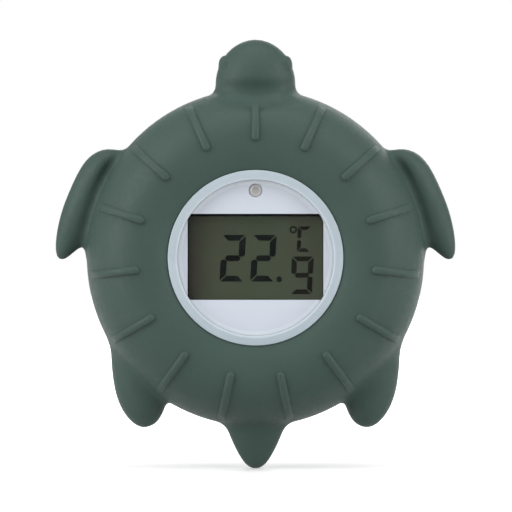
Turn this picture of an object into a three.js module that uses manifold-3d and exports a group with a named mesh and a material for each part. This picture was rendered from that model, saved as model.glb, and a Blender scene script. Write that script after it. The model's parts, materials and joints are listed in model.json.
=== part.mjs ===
// A floating bath and pool thermometer: a round electronics capsule with a liquid-crystal display,
// pushed from behind into a silicone jacket shaped like a turtle.
//
// Millimetres. +X is to the right of the display, +Z is up towards the turtle's head, and the
// display looks along -Y. The capsule and the shell are turned about one axis, along Y. Pieces are
// modelled in that axis's own frame, with y = 0 in the plane of the shell's widest rim, and the
// last lines move the whole group so that the origin is under the tail tip, midway front to back.

import * as THREE from "three";
import { mergeVertices } from "three/addons/utils/BufferGeometryUtils.js";
import Module from "manifold-3d";

const wasm = await Module();
wasm.setup();

// ---------------------------------------------------------------- driving dimensions

// Silicone jacket
const SHELL_RADIUS = 40.5;
const CREST_RADIUS = 27.5;
const CREST_Y = -16.4;
const BACK_Y = 15;
const BACK_FLAT_RADIUS = 36.5;
const WINDOW_EDGE_Y = -15;
const JACKET_WINDOW_RADIUS = 21.3;
const JACKET_CAVITY_RADIUS = 33.3;
const JACKET_CHAMFER = 3.4;
const RIDGE_COUNT = 15;
const RIDGE_INNER_RADIUS = 27.9;
const RIDGE_OUTER_RADIUS = 39.1;
const RIDGE_TUBE_RADIUS = 0.95;
const RIDGE_SINK = 0.35;
const LIMB_Y = 1;

// Turtle outline: where the head, flippers, legs and tail end
const HEAD_TOP_Z = 52.3;
const TAIL_TIP_Z = -50.6;
const FLIPPER_TIP = { x: 46.4, z: -0.3 };
const LEG_TIP = { x: 25.2, z: -40.4 };

// Capsule
const CASE_RADIUS = 33;
const CASE_WALL = 2.2;
const CASE_CHAMFER = 3;
const CASE_INNER_CHAMFER = 2;
const CASE_BACK_EDGE = 1;
const BOSS_WALL = 1.3;
const BOSS_DEPTH = 3;
const BOSS_ROOT = 0.5;
const PARTING_Y = -2;
const CASE_BACK_Y = 14.7;
const DECK_Y = -12.6;
const TURRET_Y = -13.1;
const DISPLAY_WALL_BACK_Y = -11.2;
const FACE_RADIUS = 19.3;
const FACE_RECESS = 0.35;

// Window lens
const LENS_RADIUS = 21;
const LENS_FLAT_RADIUS = 19.2;
const LENS_FRONT_Y = -15.6;
const LENS_BEVEL = 1.3;
const LENS_BACK_Y = -13.6;

// Liquid-crystal display
const VIEW_WIDTH = 32.2;
const VIEW_HEIGHT = 20.4;
const DISPLAY_Z = 0.2;
const GLASS_WIDTH = 35;
const GLASS_HEIGHT = 25.4;
const GLASS_LEDGE = 1.9;
const GLASS_THICKNESS = 1.1;
const FILM_THICKNESS = 0.2;
const LAYER_GAP = 0.05;

// Circuit board
const BOARD_RADIUS = 23.6;
const BOARD_FRONT_Y = -5;
const BOARD_BACK_Y = -3.4;
const BOARD_SCREW_PLACES = [
  { x: -20.4, z: 0 },
  { x: 20.4, z: 0 },
  { x: 0, z: -18.2 },
];

// Indicator light
const LED_Z = 15.94;
const LED_RADIUS = 1.5;
const LED_TIP_Y = -13.3;
const LED_LEAD_SPACING = 1.27;

// Case screws, one in each quarter
const CASE_SCREW_CIRCLE = 27;
const CASE_SCREW_COUNT = 4;
const SCREW_WELL_RADIUS = 2.9;

// Battery well, cap and cell
const BATTERY_Z = -8;
const CELL_RADIUS = 10;
const CELL_THICKNESS = 3.2;
const CELL_FRONT_Y = 5.4;
const WELL_FLOOR_Y = 4.6;
const WELL_BORE_RADIUS = 13.3;
const CELL_POCKET_RADIUS = 10.4;
const CELL_POCKET_TOP_Y = 8.8;
const CAP_SEAT_Y = 13.1;
const CAP_FLANGE_RADIUS = 14.5;
const CAP_CORE_RADIUS = 12.2;
const CAP_END_Y = 8.95;
const THREAD_PITCH = 2;
const THREAD_DEPTH = 0.8;
const THREAD_WIDTH = 0.7;
const THREAD_SINK = 0.3;
const THREAD_START_Y = 9.4;

// Power button and its switch, and the temperature probe, side by side above the battery
const BUTTON = { x: -8.5, z: 16 };
const PROBE = { x: 8.5, z: 16 };
const BUTTON_RADIUS = 4.5;
const BUTTON_BACK_Y = 14.4;
const SWITCH_TOP_Y = 0.3;
const PLUNGER_TIP_Y = 1.3;
const PLUNGER_GAP = 0.35;

// Gaps between neighbouring pieces, and how far a cutting tool runs past the face it cuts
const FIT = 0.3;
const HAIR = 0.1;
const PAST = 1;

// How finely round shapes are divided
const SHELL_SEGMENTS = 60;
const CASE_SEGMENTS = 40;
const DRUM_SEGMENTS = 24;
const PIN_SEGMENTS = 12;
const WIRE_SIDES = 6;

// ---------------------------------------------------------------- materials

function finish(color, roughness, metalness = 0) {
  return new THREE.MeshStandardMaterial({ color, roughness, metalness });
}

const MATERIALS = {
  silicone: () => finish(0x4f645c, 0.75),
  whiteCase: () => finish(0xdfe3e8, 0.45),
  clearWindow: () => finish(0xc9d6de, 0.1),
  facePlate: () => finish(0xd6d9e4, 0.4),
  displayGlass: () => finish(0x4a4f3f, 0.15),
  displayFilm: () => finish(0x3c4136, 0.3),
  blackPlastic: () => finish(0x1d1f20, 0.5),
  zebraRubber: () => finish(0xc07a9a, 0.8),
  board: () => finish(0x1f5b3a, 0.5),
  epoxy: () => finish(0x141414, 0.35),
  steel: () => finish(0xb8bcc0, 0.3, 1),
  ceramic: () => finish(0xb59a72, 0.6),
  ledPlastic: () => finish(0xb4ada4, 0.15),
  tin: () => finish(0xc4c6c8, 0.35, 1),
  sealRubber: () => finish(0x2a2c2e, 0.8),
  greyButton: () => finish(0x8d969b, 0.5),
  redWire: () => finish(0xa32020, 0.5),
  blackWire: () => finish(0x1a1a1a, 0.5),
  nickel: () => finish(0xc9c5bb, 0.3, 1),
};

// ---------------------------------------------------------------- solids

function solidFrom(geometry) {
  const bare = geometry.index ? geometry.toNonIndexed() : geometry.clone();
  bare.deleteAttribute("normal");
  bare.deleteAttribute("uv");
  const merged = mergeVertices(bare, 1e-4);
  return new wasm.Manifold(
    new wasm.Mesh({
      numProp: 3,
      vertProperties: merged.getAttribute("position").array,
      triVerts: new Uint32Array(merged.index.array),
    }),
  );
}

function geometryFrom(solid) {
  const { vertProperties, triVerts } = solid.getMesh();
  const geometry = new THREE.BufferGeometry();
  geometry.setAttribute("position", new THREE.BufferAttribute(vertProperties, 3));
  geometry.setIndex(new THREE.BufferAttribute(triVerts, 1));
  return geometry;
}

function unite(...geometries) {
  return geometryFrom(geometries.map(solidFrom).reduce((whole, next) => whole.add(next)));
}

function cut(body, ...tools) {
  return geometryFrom(tools.map(solidFrom).reduce((rest, tool) => rest.subtract(tool), solidFrom(body)));
}

// A profile of [radius, y] pairs turned about the Y axis, then moved to (x, z).
function turned(profile, { x = 0, z = 0 } = {}, segments = CASE_SEGMENTS) {
  const points = profile.map(([radius, y]) => new THREE.Vector2(radius, y));
  return new THREE.LatheGeometry(points, segments).translate(x, 0, z);
}

// A round bar along Y from frontY to backY, centred on (x, z).
function drum(radius, frontY, backY, { x = 0, z = 0 } = {}, segments = DRUM_SEGMENTS) {
  const bar = new THREE.CylinderGeometry(radius, radius, backY - frontY, segments);
  return bar.translate(x, (frontY + backY) / 2, z);
}

function ring(innerRadius, outerRadius, frontY, backY, place, segments) {
  return turned(
    [
      [innerRadius, frontY],
      [outerRadius, frontY],
      [outerRadius, backY],
      [innerRadius, backY],
      [innerRadius, frontY],
    ],
    place,
    segments,
  );
}

// A box given by its width in X, height in Z and its two faces in Y.
function slab(width, height, frontY, backY, { x = 0, z = 0 } = {}) {
  return new THREE.BoxGeometry(width, backY - frontY, height).translate(x, (frontY + backY) / 2, z);
}

// A slab with a rectangular hole right through it.
function frameSlab(outer, inner, frontY, backY, place) {
  const bar = slab(outer.width, outer.height, frontY, backY, place);
  return cut(bar, slab(inner.width, inner.height, frontY - PAST, backY + PAST, place));
}

// A round wire through the given points.
function wire(points, radius, steps = 10) {
  const section = new THREE.Shape().absarc(0, 0, radius, 0, 2 * Math.PI);
  const corners = section.getSpacedPoints(WIRE_SIDES).slice(0, WIRE_SIDES);
  const route = new THREE.CatmullRomCurve3(points.map((point) => new THREE.Vector3(...point)));
  return new THREE.ExtrudeGeometry(new THREE.Shape(corners), { steps, extrudePath: route });
}

// A thin metal strip bent along [x, y] points, with its width along Z.
function bentStrip(points, thickness, width, { x = 0, z = 0 } = {}) {
  const near = points.map(([px, py]) => new THREE.Vector2(px, py));
  const direction = near.at(-1).clone().sub(near[0]).normalize();
  const across = new THREE.Vector2(-direction.y, direction.x).multiplyScalar(thickness);
  const far = near.map((point) => point.clone().add(across)).reverse();
  const strip = new THREE.ExtrudeGeometry(new THREE.Shape([...near, ...far]), {
    depth: width,
    bevelEnabled: false,
  });
  return strip.translate(x, 0, z - width / 2);
}

// A screw thread's ridge about the Y axis: a square bar bent along a right-handed helix. It starts
// at startAngle and startY, and grows outwards from innerRadius.
function threadRidge({ innerRadius, outerRadius, startAngle, startY }) {
  const turnSegments = CASE_SEGMENTS;
  const bar = new THREE.BoxGeometry(2 * Math.PI, 1, 1, turnSegments, 1, 1);
  const corners = bar.getAttribute("position");
  for (let i = 0; i < corners.count; i += 1) {
    const swept = corners.getX(i) + Math.PI;
    const radius = THREE.MathUtils.lerp(innerRadius, outerRadius, corners.getZ(i) + 0.5);
    const y = startY + THREAD_PITCH * (swept / (2 * Math.PI)) + THREAD_WIDTH * corners.getY(i);
    const angle = startAngle + swept;
    corners.setXYZ(i, radius * Math.sin(angle), y, radius * Math.cos(angle));
  }
  return bar;
}

// ---------------------------------------------------------------- silicone jacket

// The front surface from the crest out to the rim is a quarter of an ellipse.
function domeY(radius) {
  const across = (radius - CREST_RADIUS) / (SHELL_RADIUS - CREST_RADIUS);
  return CREST_Y * Math.sqrt(1 - across * across);
}

function shell() {
  const section = new THREE.Path();
  section.moveTo(JACKET_WINDOW_RADIUS, WINDOW_EDGE_Y);
  section.quadraticCurveTo(
    (JACKET_WINDOW_RADIUS + CREST_RADIUS) / 2,
    CREST_Y,
    CREST_RADIUS,
    CREST_Y,
  );
  section.absellipse(CREST_RADIUS, 0, SHELL_RADIUS - CREST_RADIUS, -CREST_Y, -Math.PI / 2, 0);
  section.absellipse(BACK_FLAT_RADIUS, 0, SHELL_RADIUS - BACK_FLAT_RADIUS, BACK_Y, 0, Math.PI / 2);
  section.lineTo(JACKET_CAVITY_RADIUS, BACK_Y);
  section.lineTo(JACKET_CAVITY_RADIUS, DECK_Y - FIT + JACKET_CHAMFER);
  section.lineTo(JACKET_CAVITY_RADIUS - JACKET_CHAMFER, DECK_Y - FIT);
  section.lineTo(JACKET_WINDOW_RADIUS, DECK_Y - FIT);
  section.closePath();
  const arcDivisions = 3;
  return new THREE.LatheGeometry(section.getPoints(arcDivisions), SHELL_SEGMENTS);
}

// A ridge is a round bar that follows the dome and is sunk into it.
function ridge(turnFromTop) {
  const steps = 4;
  const route = [];
  for (let i = 0; i <= steps; i += 1) {
    const radius = THREE.MathUtils.lerp(RIDGE_INNER_RADIUS, RIDGE_OUTER_RADIUS, i / steps);
    route.push([0, domeY(radius) + RIDGE_SINK, radius]);
  }
  return wire(route, RIDGE_TUBE_RADIUS, steps).rotateY(turnFromTop);
}

// A limb's half width along its length, from 0 to 1: an even taper with a round root and a tip that
// is rounder the higher its power.
function taper({ rootWidth, tipWidth, rootEnd = 0.05, tipStart, tipPower }) {
  const rounding = (into, power) => Math.max(0, 1 - into ** power) ** (1 / power);
  return (along) => {
    const width = THREE.MathUtils.lerp(rootWidth, tipWidth, along);
    const intoRoot = Math.max(0, (rootEnd - along) / rootEnd);
    const intoTip = Math.max(0, (along - tipStart) / (1 - tipStart));
    return width * rounding(intoRoot, 2) * rounding(intoTip, tipPower);
  };
}

// A limb is a long bead, bent so that its middle follows a curve of {x, z} points and flattened
// front to back by depthRatio.
function limb({ spine, halfWidth, depthRatio, y = LIMB_Y }) {
  const curve = new THREE.QuadraticBezierCurve(
    ...spine.map((point) => new THREE.Vector2(point.x, point.z)),
  );
  const lengthSteps = 14;
  const roundSteps = 16;
  const profile = [];
  for (let i = 0; i <= lengthSteps; i += 1) {
    const along = (1 - Math.cos((Math.PI * i) / lengthSteps)) / 2;
    profile.push(new THREE.Vector2(halfWidth(along), along));
  }
  const bead = new THREE.LatheGeometry(profile, roundSteps);
  const corners = bead.getAttribute("position");
  for (let i = 0; i < corners.count; i += 1) {
    const along = corners.getY(i);
    const middle = curve.getPoint(along);
    const ahead = curve.getTangent(along);
    const side = corners.getX(i);
    corners.setXYZ(
      i,
      middle.x + ahead.y * side,
      y - depthRatio * corners.getZ(i),
      middle.y - ahead.x * side,
    );
  }
  return bead;
}

function mirrored(spine) {
  return spine.map((point) => ({ x: -point.x, z: point.z }));
}

function head() {
  return limb({
    spine: [{ x: 0, z: 32 }, { x: 0, z: 42 }, { x: 0, z: HEAD_TOP_Z }],
    halfWidth: taper({ rootWidth: 11, tipWidth: 8.1, tipStart: 0.66, tipPower: 1.7 }),
    depthRatio: 0.76,
    y: 0,
  });
}

function tail() {
  return limb({
    spine: [{ x: 0, z: -36 }, { x: 0, z: -43 }, { x: 0, z: TAIL_TIP_Z }],
    halfWidth: taper({ rootWidth: 9.4, tipWidth: 2.2, tipStart: 0.82, tipPower: 2 }),
    depthRatio: 0.66,
    y: 0,
  });
}

const FLIPPER_SPINE = [{ x: 33.2, z: 19.7 }, { x: 39.6, z: 18.2 }, FLIPPER_TIP];
const LEG_SPINE = [{ x: 27.1, z: -16.3 }, { x: 28.7, z: -33.2 }, LEG_TIP];

function flipper(spine) {
  return limb({
    spine,
    halfWidth: taper({ rootWidth: 7.9, tipWidth: 2.8, tipStart: 0.87, tipPower: 1.8 }),
    depthRatio: 0.8,
  });
}

function leg(spine) {
  return limb({
    spine,
    halfWidth: taper({ rootWidth: 8, tipWidth: 4.4, tipStart: 0.5, tipPower: 2.6 }),
    depthRatio: 0.85,
  });
}

// The cavity is open at the back, and the window at the front.
function jacketHollow() {
  return turned(
    [
      [0, CREST_Y - PAST],
      [JACKET_WINDOW_RADIUS, CREST_Y - PAST],
      [JACKET_WINDOW_RADIUS, DECK_Y - FIT],
      [JACKET_CAVITY_RADIUS - JACKET_CHAMFER, DECK_Y - FIT],
      [JACKET_CAVITY_RADIUS, DECK_Y - FIT + JACKET_CHAMFER],
      [JACKET_CAVITY_RADIUS, BACK_Y + PAST],
      [0, BACK_Y + PAST],
    ],
    {},
    SHELL_SEGMENTS,
  );
}

function jacket() {
  const ridges = Array.from({ length: RIDGE_COUNT }, (_, i) => ridge((i * 2 * Math.PI) / RIDGE_COUNT));
  const limbs = [
    head(),
    tail(),
    flipper(FLIPPER_SPINE),
    flipper(mirrored(FLIPPER_SPINE)),
    leg(LEG_SPINE),
    leg(mirrored(LEG_SPINE)),
  ];
  return cut(unite(shell(), ...limbs, ...ridges), jacketHollow());
}

// ---------------------------------------------------------------- capsule shells

// The places of the case screws, one in each quarter.
const CASE_SCREW_PLACES = Array.from({ length: CASE_SCREW_COUNT }, (_, i) => {
  const angle = Math.PI / 4 + (i * 2 * Math.PI) / CASE_SCREW_COUNT;
  return { x: CASE_SCREW_CIRCLE * Math.sin(angle), z: CASE_SCREW_CIRCLE * Math.cos(angle) };
});
const CASE_BOSS_RADIUS = 2.9;
const CASE_PILOT_RADIUS = 1.2;
const SCREW_SHANK_RADIUS = 1.05;
const BOARD_POST_RADIUS = 1.5;
const BOARD_PILOT_RADIUS = 0.9;
const TURRET_WALL = LENS_RADIUS - FACE_RADIUS - HAIR * 2;

function frontCase() {
  const inside = CASE_RADIUS - CASE_WALL;
  const recessFloor = TURRET_Y + FACE_RECESS;
  const cup = turned([
    [0, recessFloor],
    [LENS_RADIUS - TURRET_WALL, recessFloor],
    [LENS_RADIUS - TURRET_WALL, TURRET_Y],
    [LENS_RADIUS, TURRET_Y],
    [LENS_RADIUS, DECK_Y],
    [CASE_RADIUS - CASE_CHAMFER, DECK_Y],
    [CASE_RADIUS, DECK_Y + CASE_CHAMFER],
    [CASE_RADIUS, PARTING_Y],
    [inside, PARTING_Y],
    [inside, DISPLAY_WALL_BACK_Y + CASE_INNER_CHAMFER],
    [inside - CASE_INNER_CHAMFER, DISPLAY_WALL_BACK_Y],
    [0, DISPLAY_WALL_BACK_Y],
  ]);
  const rootY = DISPLAY_WALL_BACK_Y - BOSS_ROOT;
  const pilotY = DISPLAY_WALL_BACK_Y + BOSS_ROOT;
  const bosses = CASE_SCREW_PLACES.map((place) =>
    drum(CASE_BOSS_RADIUS, rootY, PARTING_Y - FIT, place, PIN_SEGMENTS),
  );
  const posts = BOARD_SCREW_PLACES.map((place) =>
    drum(BOARD_POST_RADIUS, rootY, BOARD_FRONT_Y - HAIR, place, PIN_SEGMENTS),
  );
  const pilots = [
    ...CASE_SCREW_PLACES.map((place) => drum(CASE_PILOT_RADIUS, pilotY, PARTING_Y, place, PIN_SEGMENTS)),
    ...BOARD_SCREW_PLACES.map((place) =>
      drum(BOARD_PILOT_RADIUS, pilotY, BOARD_FRONT_Y, place, PIN_SEGMENTS),
    ),
  ];
  const through = [TURRET_Y - PAST, DISPLAY_WALL_BACK_Y + PAST];
  const displayWindow = slab(VIEW_WIDTH, VIEW_HEIGHT, ...through, { z: DISPLAY_Z });
  const ledHole = drum(LED_RADIUS + HAIR, ...through, { z: LED_Z }, PIN_SEGMENTS);
  return cut(unite(cup, ...bosses, ...posts), ...pilots, displayWindow, ledHole);
}

const SEAL_GROOVE = { inner: 31.3, outer: 32.5, depth: 0.9 };
const CASE_COUNTERBORE_FLOOR_Y = 1;
const BUTTON_POCKET_RADIUS = BUTTON_RADIUS + FIT;
const BUTTON_POCKET_FLOOR_Y = 11.9;
const BUTTON_STEM_RADIUS = 1.5;
const PROBE_FLANGE_RADIUS = 4.6;
const PROBE_BODY_RADIUS = 3.4;
const PROBE_FLANGE_Y = 13.5;
const PROBE_SEAT_Y = 13;
const WELL_WALL = 1.7;
const WELL_FLOOR_THICKNESS = 1.5;

function rearCaseShell() {
  const inside = CASE_RADIUS - CASE_WALL;
  const wallInnerY = CASE_BACK_Y - CASE_WALL;
  return turned([
    [0, wallInnerY],
    [inside, wallInnerY],
    [inside, PARTING_Y + FIT],
    [CASE_RADIUS, PARTING_Y + FIT],
    [CASE_RADIUS, CASE_BACK_Y - CASE_BACK_EDGE],
    [CASE_RADIUS - CASE_BACK_EDGE, CASE_BACK_Y],
    [0, CASE_BACK_Y],
  ]);
}

// The well holds the coin cell in a narrow pocket, the threaded cap above it and the cap's flange
// in a counterbore at its mouth.
function batteryWellBlock() {
  const mouthY = CASE_BACK_Y - CASE_WALL / 2;
  return turned(
    [
      [0, WELL_FLOOR_Y - WELL_FLOOR_THICKNESS],
      [CELL_POCKET_RADIUS + WELL_WALL, WELL_FLOOR_Y - WELL_FLOOR_THICKNESS],
      [CELL_POCKET_RADIUS + WELL_WALL, CELL_POCKET_TOP_Y - WELL_FLOOR_THICKNESS],
      [WELL_BORE_RADIUS + WELL_WALL, CELL_POCKET_TOP_Y - WELL_FLOOR_THICKNESS],
      [WELL_BORE_RADIUS + WELL_WALL, mouthY],
      [0, mouthY],
    ],
    { z: BATTERY_Z },
  );
}

function batteryWellHollow() {
  return turned(
    [
      [0, WELL_FLOOR_Y],
      [CELL_POCKET_RADIUS, WELL_FLOOR_Y],
      [CELL_POCKET_RADIUS, CELL_POCKET_TOP_Y],
      [WELL_BORE_RADIUS, CELL_POCKET_TOP_Y],
      [WELL_BORE_RADIUS, CAP_SEAT_Y],
      [CAP_FLANGE_RADIUS + FIT, CAP_SEAT_Y],
      [CAP_FLANGE_RADIUS + FIT, CASE_BACK_Y + PAST],
      [0, CASE_BACK_Y + PAST],
    ],
    { z: BATTERY_Z },
  );
}

const POSITIVE_CONTACT_X = 10.15;
const NEGATIVE_CONTACT_X = -5.5;
const CONTACT_WIDTH = 3;
const CONTACT_SLOT_WIDTH = CONTACT_WIDTH + 2 * FIT;

// The positive contact stands beside the cell in a slot of its own, and both contacts' tails pass
// through the floor of the well.
function contactSlots() {
  const standingSlotDepth = 1.3;
  const tailSlotDepth = 1;
  const standing = { x: POSITIVE_CONTACT_X + 0.35, z: BATTERY_Z };
  const tail = { x: NEGATIVE_CONTACT_X, z: BATTERY_Z };
  const frontY = WELL_FLOOR_Y - WELL_FLOOR_THICKNESS - BOSS_ROOT;
  return [
    slab(standingSlotDepth, CONTACT_SLOT_WIDTH, frontY, CELL_POCKET_TOP_Y, standing),
    slab(tailSlotDepth, CONTACT_SLOT_WIDTH, frontY, WELL_FLOOR_Y + PAST, tail),
  ];
}

function rearCase() {
  const wallInnerY = CASE_BACK_Y - CASE_WALL;
  const wallMiddleY = CASE_BACK_Y - CASE_WALL / 2;
  const bossY = wallInnerY - BOSS_DEPTH;
  const screwBosses = CASE_SCREW_PLACES.map((place) =>
    drum(SCREW_WELL_RADIUS + BOSS_WALL, PARTING_Y + FIT, wallMiddleY, place, PIN_SEGMENTS),
  );
  const buttonBoss = drum(BUTTON_POCKET_RADIUS + BOSS_WALL, bossY, wallMiddleY, BUTTON);
  const probeBoss = drum(PROBE_FLANGE_RADIUS + FIT + BOSS_WALL, bossY, wallMiddleY, PROBE);
  const pastBackY = CASE_BACK_Y + PAST;
  const screwHoles = CASE_SCREW_PLACES.flatMap((place) => [
    drum(SCREW_WELL_RADIUS, CASE_COUNTERBORE_FLOOR_Y, pastBackY, place, PIN_SEGMENTS),
    drum(CASE_PILOT_RADIUS + HAIR, PARTING_Y - PAST, CASE_COUNTERBORE_FLOOR_Y + PAST, place, PIN_SEGMENTS),
  ]);
  const holes = [
    drum(BUTTON_POCKET_RADIUS, BUTTON_POCKET_FLOOR_Y, pastBackY, BUTTON),
    drum(BUTTON_STEM_RADIUS + FIT, bossY - PAST, CASE_BACK_Y, BUTTON, PIN_SEGMENTS),
    drum(PROBE_FLANGE_RADIUS + FIT, PROBE_SEAT_Y, pastBackY, PROBE),
    drum(PROBE_BODY_RADIUS + FIT, bossY - PAST, CASE_BACK_Y, PROBE),
    ring(SEAL_GROOVE.inner, SEAL_GROOVE.outer, PARTING_Y, PARTING_Y + FIT + SEAL_GROOVE.depth),
  ];
  const hollowed = cut(
    unite(rearCaseShell(), batteryWellBlock(), ...screwBosses, buttonBoss, probeBoss),
    batteryWellHollow(),
    ...contactSlots(),
    ...screwHoles,
    ...holes,
  );
  const boreThread = threadRidge({
    innerRadius: WELL_BORE_RADIUS - THREAD_DEPTH,
    outerRadius: WELL_BORE_RADIUS + THREAD_SINK,
    startAngle: 0,
    startY: THREAD_START_Y,
  }).translate(0, 0, BATTERY_Z);
  return unite(hollowed, boreThread);
}

function caseSeal() {
  const middle = (SEAL_GROOVE.inner + SEAL_GROOVE.outer) / 2;
  const half = (SEAL_GROOVE.outer - SEAL_GROOVE.inner) / 2 - HAIR;
  return ring(middle - half, middle + half, PARTING_Y + HAIR, PARTING_Y + FIT + SEAL_GROOVE.depth - HAIR);
}

// A self-tapping screw that points forward, with its head's front face at seatY.
function screw({ shankRadius, headRadius, headHeight, seatY, length, place }) {
  const crossWidth = headRadius * 0.28;
  const crossLength = headRadius * 1.2;
  const pointRadius = shankRadius * 0.4;
  const crownRadius = headRadius * 0.6;
  const headTop = seatY + headHeight;
  const rimY = seatY + headHeight * 0.6;
  const recessFloor = seatY + headHeight * 0.4;
  const blank = turned(
    [
      [0, seatY - length],
      [pointRadius, seatY - length],
      [shankRadius, seatY - length + shankRadius],
      [shankRadius, seatY],
      [headRadius, seatY],
      [headRadius, rimY],
      [crownRadius, headTop],
      [0, headTop],
    ],
    place,
    PIN_SEGMENTS,
  );
  return cut(
    blank,
    slab(crossWidth, crossLength, recessFloor, headTop + PAST, place),
    slab(crossLength, crossWidth, recessFloor, headTop + PAST, place),
  );
}

function caseScrew(place) {
  return screw({
    shankRadius: SCREW_SHANK_RADIUS,
    headRadius: 2.4,
    headHeight: 1.5,
    seatY: CASE_COUNTERBORE_FLOOR_Y + HAIR,
    length: 9,
    place,
  });
}

function boardScrew(place) {
  return screw({
    shankRadius: BOARD_PILOT_RADIUS - HAIR,
    headRadius: 1.7,
    headHeight: 1,
    seatY: BOARD_BACK_Y + HAIR,
    length: 5.5,
    place,
  });
}

// A soft plug that closes the well above a case screw.
function screwPlug(place) {
  const plugDepth = 3;
  const nose = 0.6;
  const radius = SCREW_WELL_RADIUS - HAIR;
  const plugBack = CASE_BACK_Y - HAIR;
  return turned(
    [
      [0, plugBack - plugDepth],
      [radius - nose, plugBack - plugDepth],
      [radius, plugBack - plugDepth + nose],
      [radius, plugBack],
      [0, plugBack],
    ],
    place,
    PIN_SEGMENTS,
  );
}

// ---------------------------------------------------------------- window and face

function windowLens() {
  return turned([
    [0, LENS_FRONT_Y],
    [LENS_FLAT_RADIUS, LENS_FRONT_Y],
    [LENS_RADIUS, LENS_FRONT_Y + LENS_BEVEL],
    [LENS_RADIUS, LENS_BACK_Y],
    [0, LENS_BACK_Y],
  ]);
}

function lensSeal() {
  return ring(
    LENS_RADIUS - TURRET_WALL + HAIR,
    LENS_RADIUS - HAIR,
    LENS_BACK_Y + HAIR,
    TURRET_Y - HAIR,
  );
}

function facePlate() {
  const frontY = LENS_BACK_Y + HAIR * 2;
  const backY = TURRET_Y + FACE_RECESS - HAIR;
  return cut(
    drum(FACE_RADIUS, frontY, backY, {}, CASE_SEGMENTS),
    slab(VIEW_WIDTH, VIEW_HEIGHT, frontY - PAST, backY + PAST, { z: DISPLAY_Z }),
    drum(LED_RADIUS + HAIR, frontY - PAST, backY + PAST, { z: LED_Z }, PIN_SEGMENTS),
  );
}

// ---------------------------------------------------------------- display stack

const FILM_MARGIN = 0.4;
const VIEW_FILM = { width: VIEW_WIDTH + 2 * FILM_MARGIN, height: VIEW_HEIGHT + 2 * FILM_MARGIN };
const REAR_GLASS_HEIGHT = GLASS_HEIGHT - 2 * GLASS_LEDGE;
const FRAME_WALL = 0.9;

function addDisplay() {
  const place = { z: DISPLAY_Z };
  let frontY = DISPLAY_WALL_BACK_Y + HAIR;
  const addLayer = (name, width, height, thickness, material) => {
    addPiece(name, slab(width, height, frontY, frontY + thickness, place), material);
    frontY += thickness + LAYER_GAP;
  };
  addLayer("lcd_front_polariser", VIEW_FILM.width, VIEW_FILM.height, FILM_THICKNESS, "displayFilm");
  addLayer("lcd_front_glass", GLASS_WIDTH, GLASS_HEIGHT, GLASS_THICKNESS, "displayGlass");
  const ledgeY = frontY;
  addLayer("lcd_rear_glass", GLASS_WIDTH, REAR_GLASS_HEIGHT, GLASS_THICKNESS, "displayGlass");
  addLayer("lcd_reflector", VIEW_FILM.width, VIEW_FILM.height, FILM_THICKNESS, "displayFilm");

  const inner = { width: GLASS_WIDTH + FIT, height: GLASS_HEIGHT + FIT };
  const outer = { width: inner.width + 2 * FRAME_WALL, height: inner.height + 2 * FRAME_WALL };
  addPiece(
    "lcd_frame",
    frameSlab(outer, inner, ledgeY - GLASS_THICKNESS, BOARD_FRONT_Y - HAIR, place),
    "blackPlastic",
  );

  const stripWidth = GLASS_LEDGE - FIT;
  const stripLength = GLASS_WIDTH - 2;
  for (const [name, side] of [["zebra_strip_upper", 1], ["zebra_strip_lower", -1]]) {
    const z = DISPLAY_Z + (side * (GLASS_HEIGHT - stripWidth)) / 2;
    const strip = slab(stripLength, stripWidth, ledgeY + HAIR, BOARD_FRONT_Y - HAIR, { z });
    addPiece(name, strip, "zebraRubber");
  }
}

// ---------------------------------------------------------------- circuit board

const LEAD_THICKNESS = 0.5;
const LEAD_HOLE_RADIUS = 0.5;
const SOLDERED_LENGTH = 0.8;
const BOARD_SCREW_HOLE_RADIUS = 1.1;
const LED_FLANGE = { radius: 1.8, frontY: -9.3, backY: -8.3 };

function circuitBoard() {
  const through = [BOARD_FRONT_Y - PAST, BOARD_BACK_Y + PAST];
  const screwHoles = BOARD_SCREW_PLACES.map((place) =>
    drum(BOARD_SCREW_HOLE_RADIUS, ...through, place, PIN_SEGMENTS),
  );
  const leadHoles = [-1, 1].map((side) =>
    drum(LEAD_HOLE_RADIUS, ...through, { x: side * LED_LEAD_SPACING, z: LED_Z }, WIRE_SIDES),
  );
  const disc = drum(BOARD_RADIUS, BOARD_FRONT_Y, BOARD_BACK_Y, {}, CASE_SEGMENTS);
  return cut(disc, ...screwHoles, ...leadHoles);
}

// A drop of black epoxy over the bonded controller chip.
function controllerBlob() {
  const height = 1.4;
  const radius = 5;
  const drop = new THREE.Path();
  drop.moveTo(0, BOARD_BACK_Y + HAIR);
  drop.lineTo(radius, BOARD_BACK_Y + HAIR);
  drop.absellipse(0, BOARD_BACK_Y + HAIR, radius, height, 0, Math.PI / 2);
  return new THREE.LatheGeometry(drop.getPoints(2), DRUM_SEGMENTS);
}

function quartzCrystal() {
  const radius = 1;
  const length = 6;
  const place = { x: 11, z: 8 };
  const can = new THREE.CylinderGeometry(radius, radius, length, PIN_SEGMENTS).rotateZ(Math.PI / 2);
  return can.translate(place.x, BOARD_BACK_Y + HAIR + radius, place.z);
}

function indicatorLed() {
  const section = new THREE.Path();
  section.absellipse(0, LED_TIP_Y + LED_RADIUS, LED_RADIUS, LED_RADIUS, -Math.PI / 2, 0);
  section.lineTo(LED_RADIUS, LED_FLANGE.frontY);
  section.lineTo(LED_FLANGE.radius, LED_FLANGE.frontY);
  section.lineTo(LED_FLANGE.radius, LED_FLANGE.backY);
  section.lineTo(0, LED_FLANGE.backY);
  const domeDivisions = 3;
  return new THREE.LatheGeometry(section.getPoints(domeDivisions), PIN_SEGMENTS).translate(0, 0, LED_Z);
}

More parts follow.
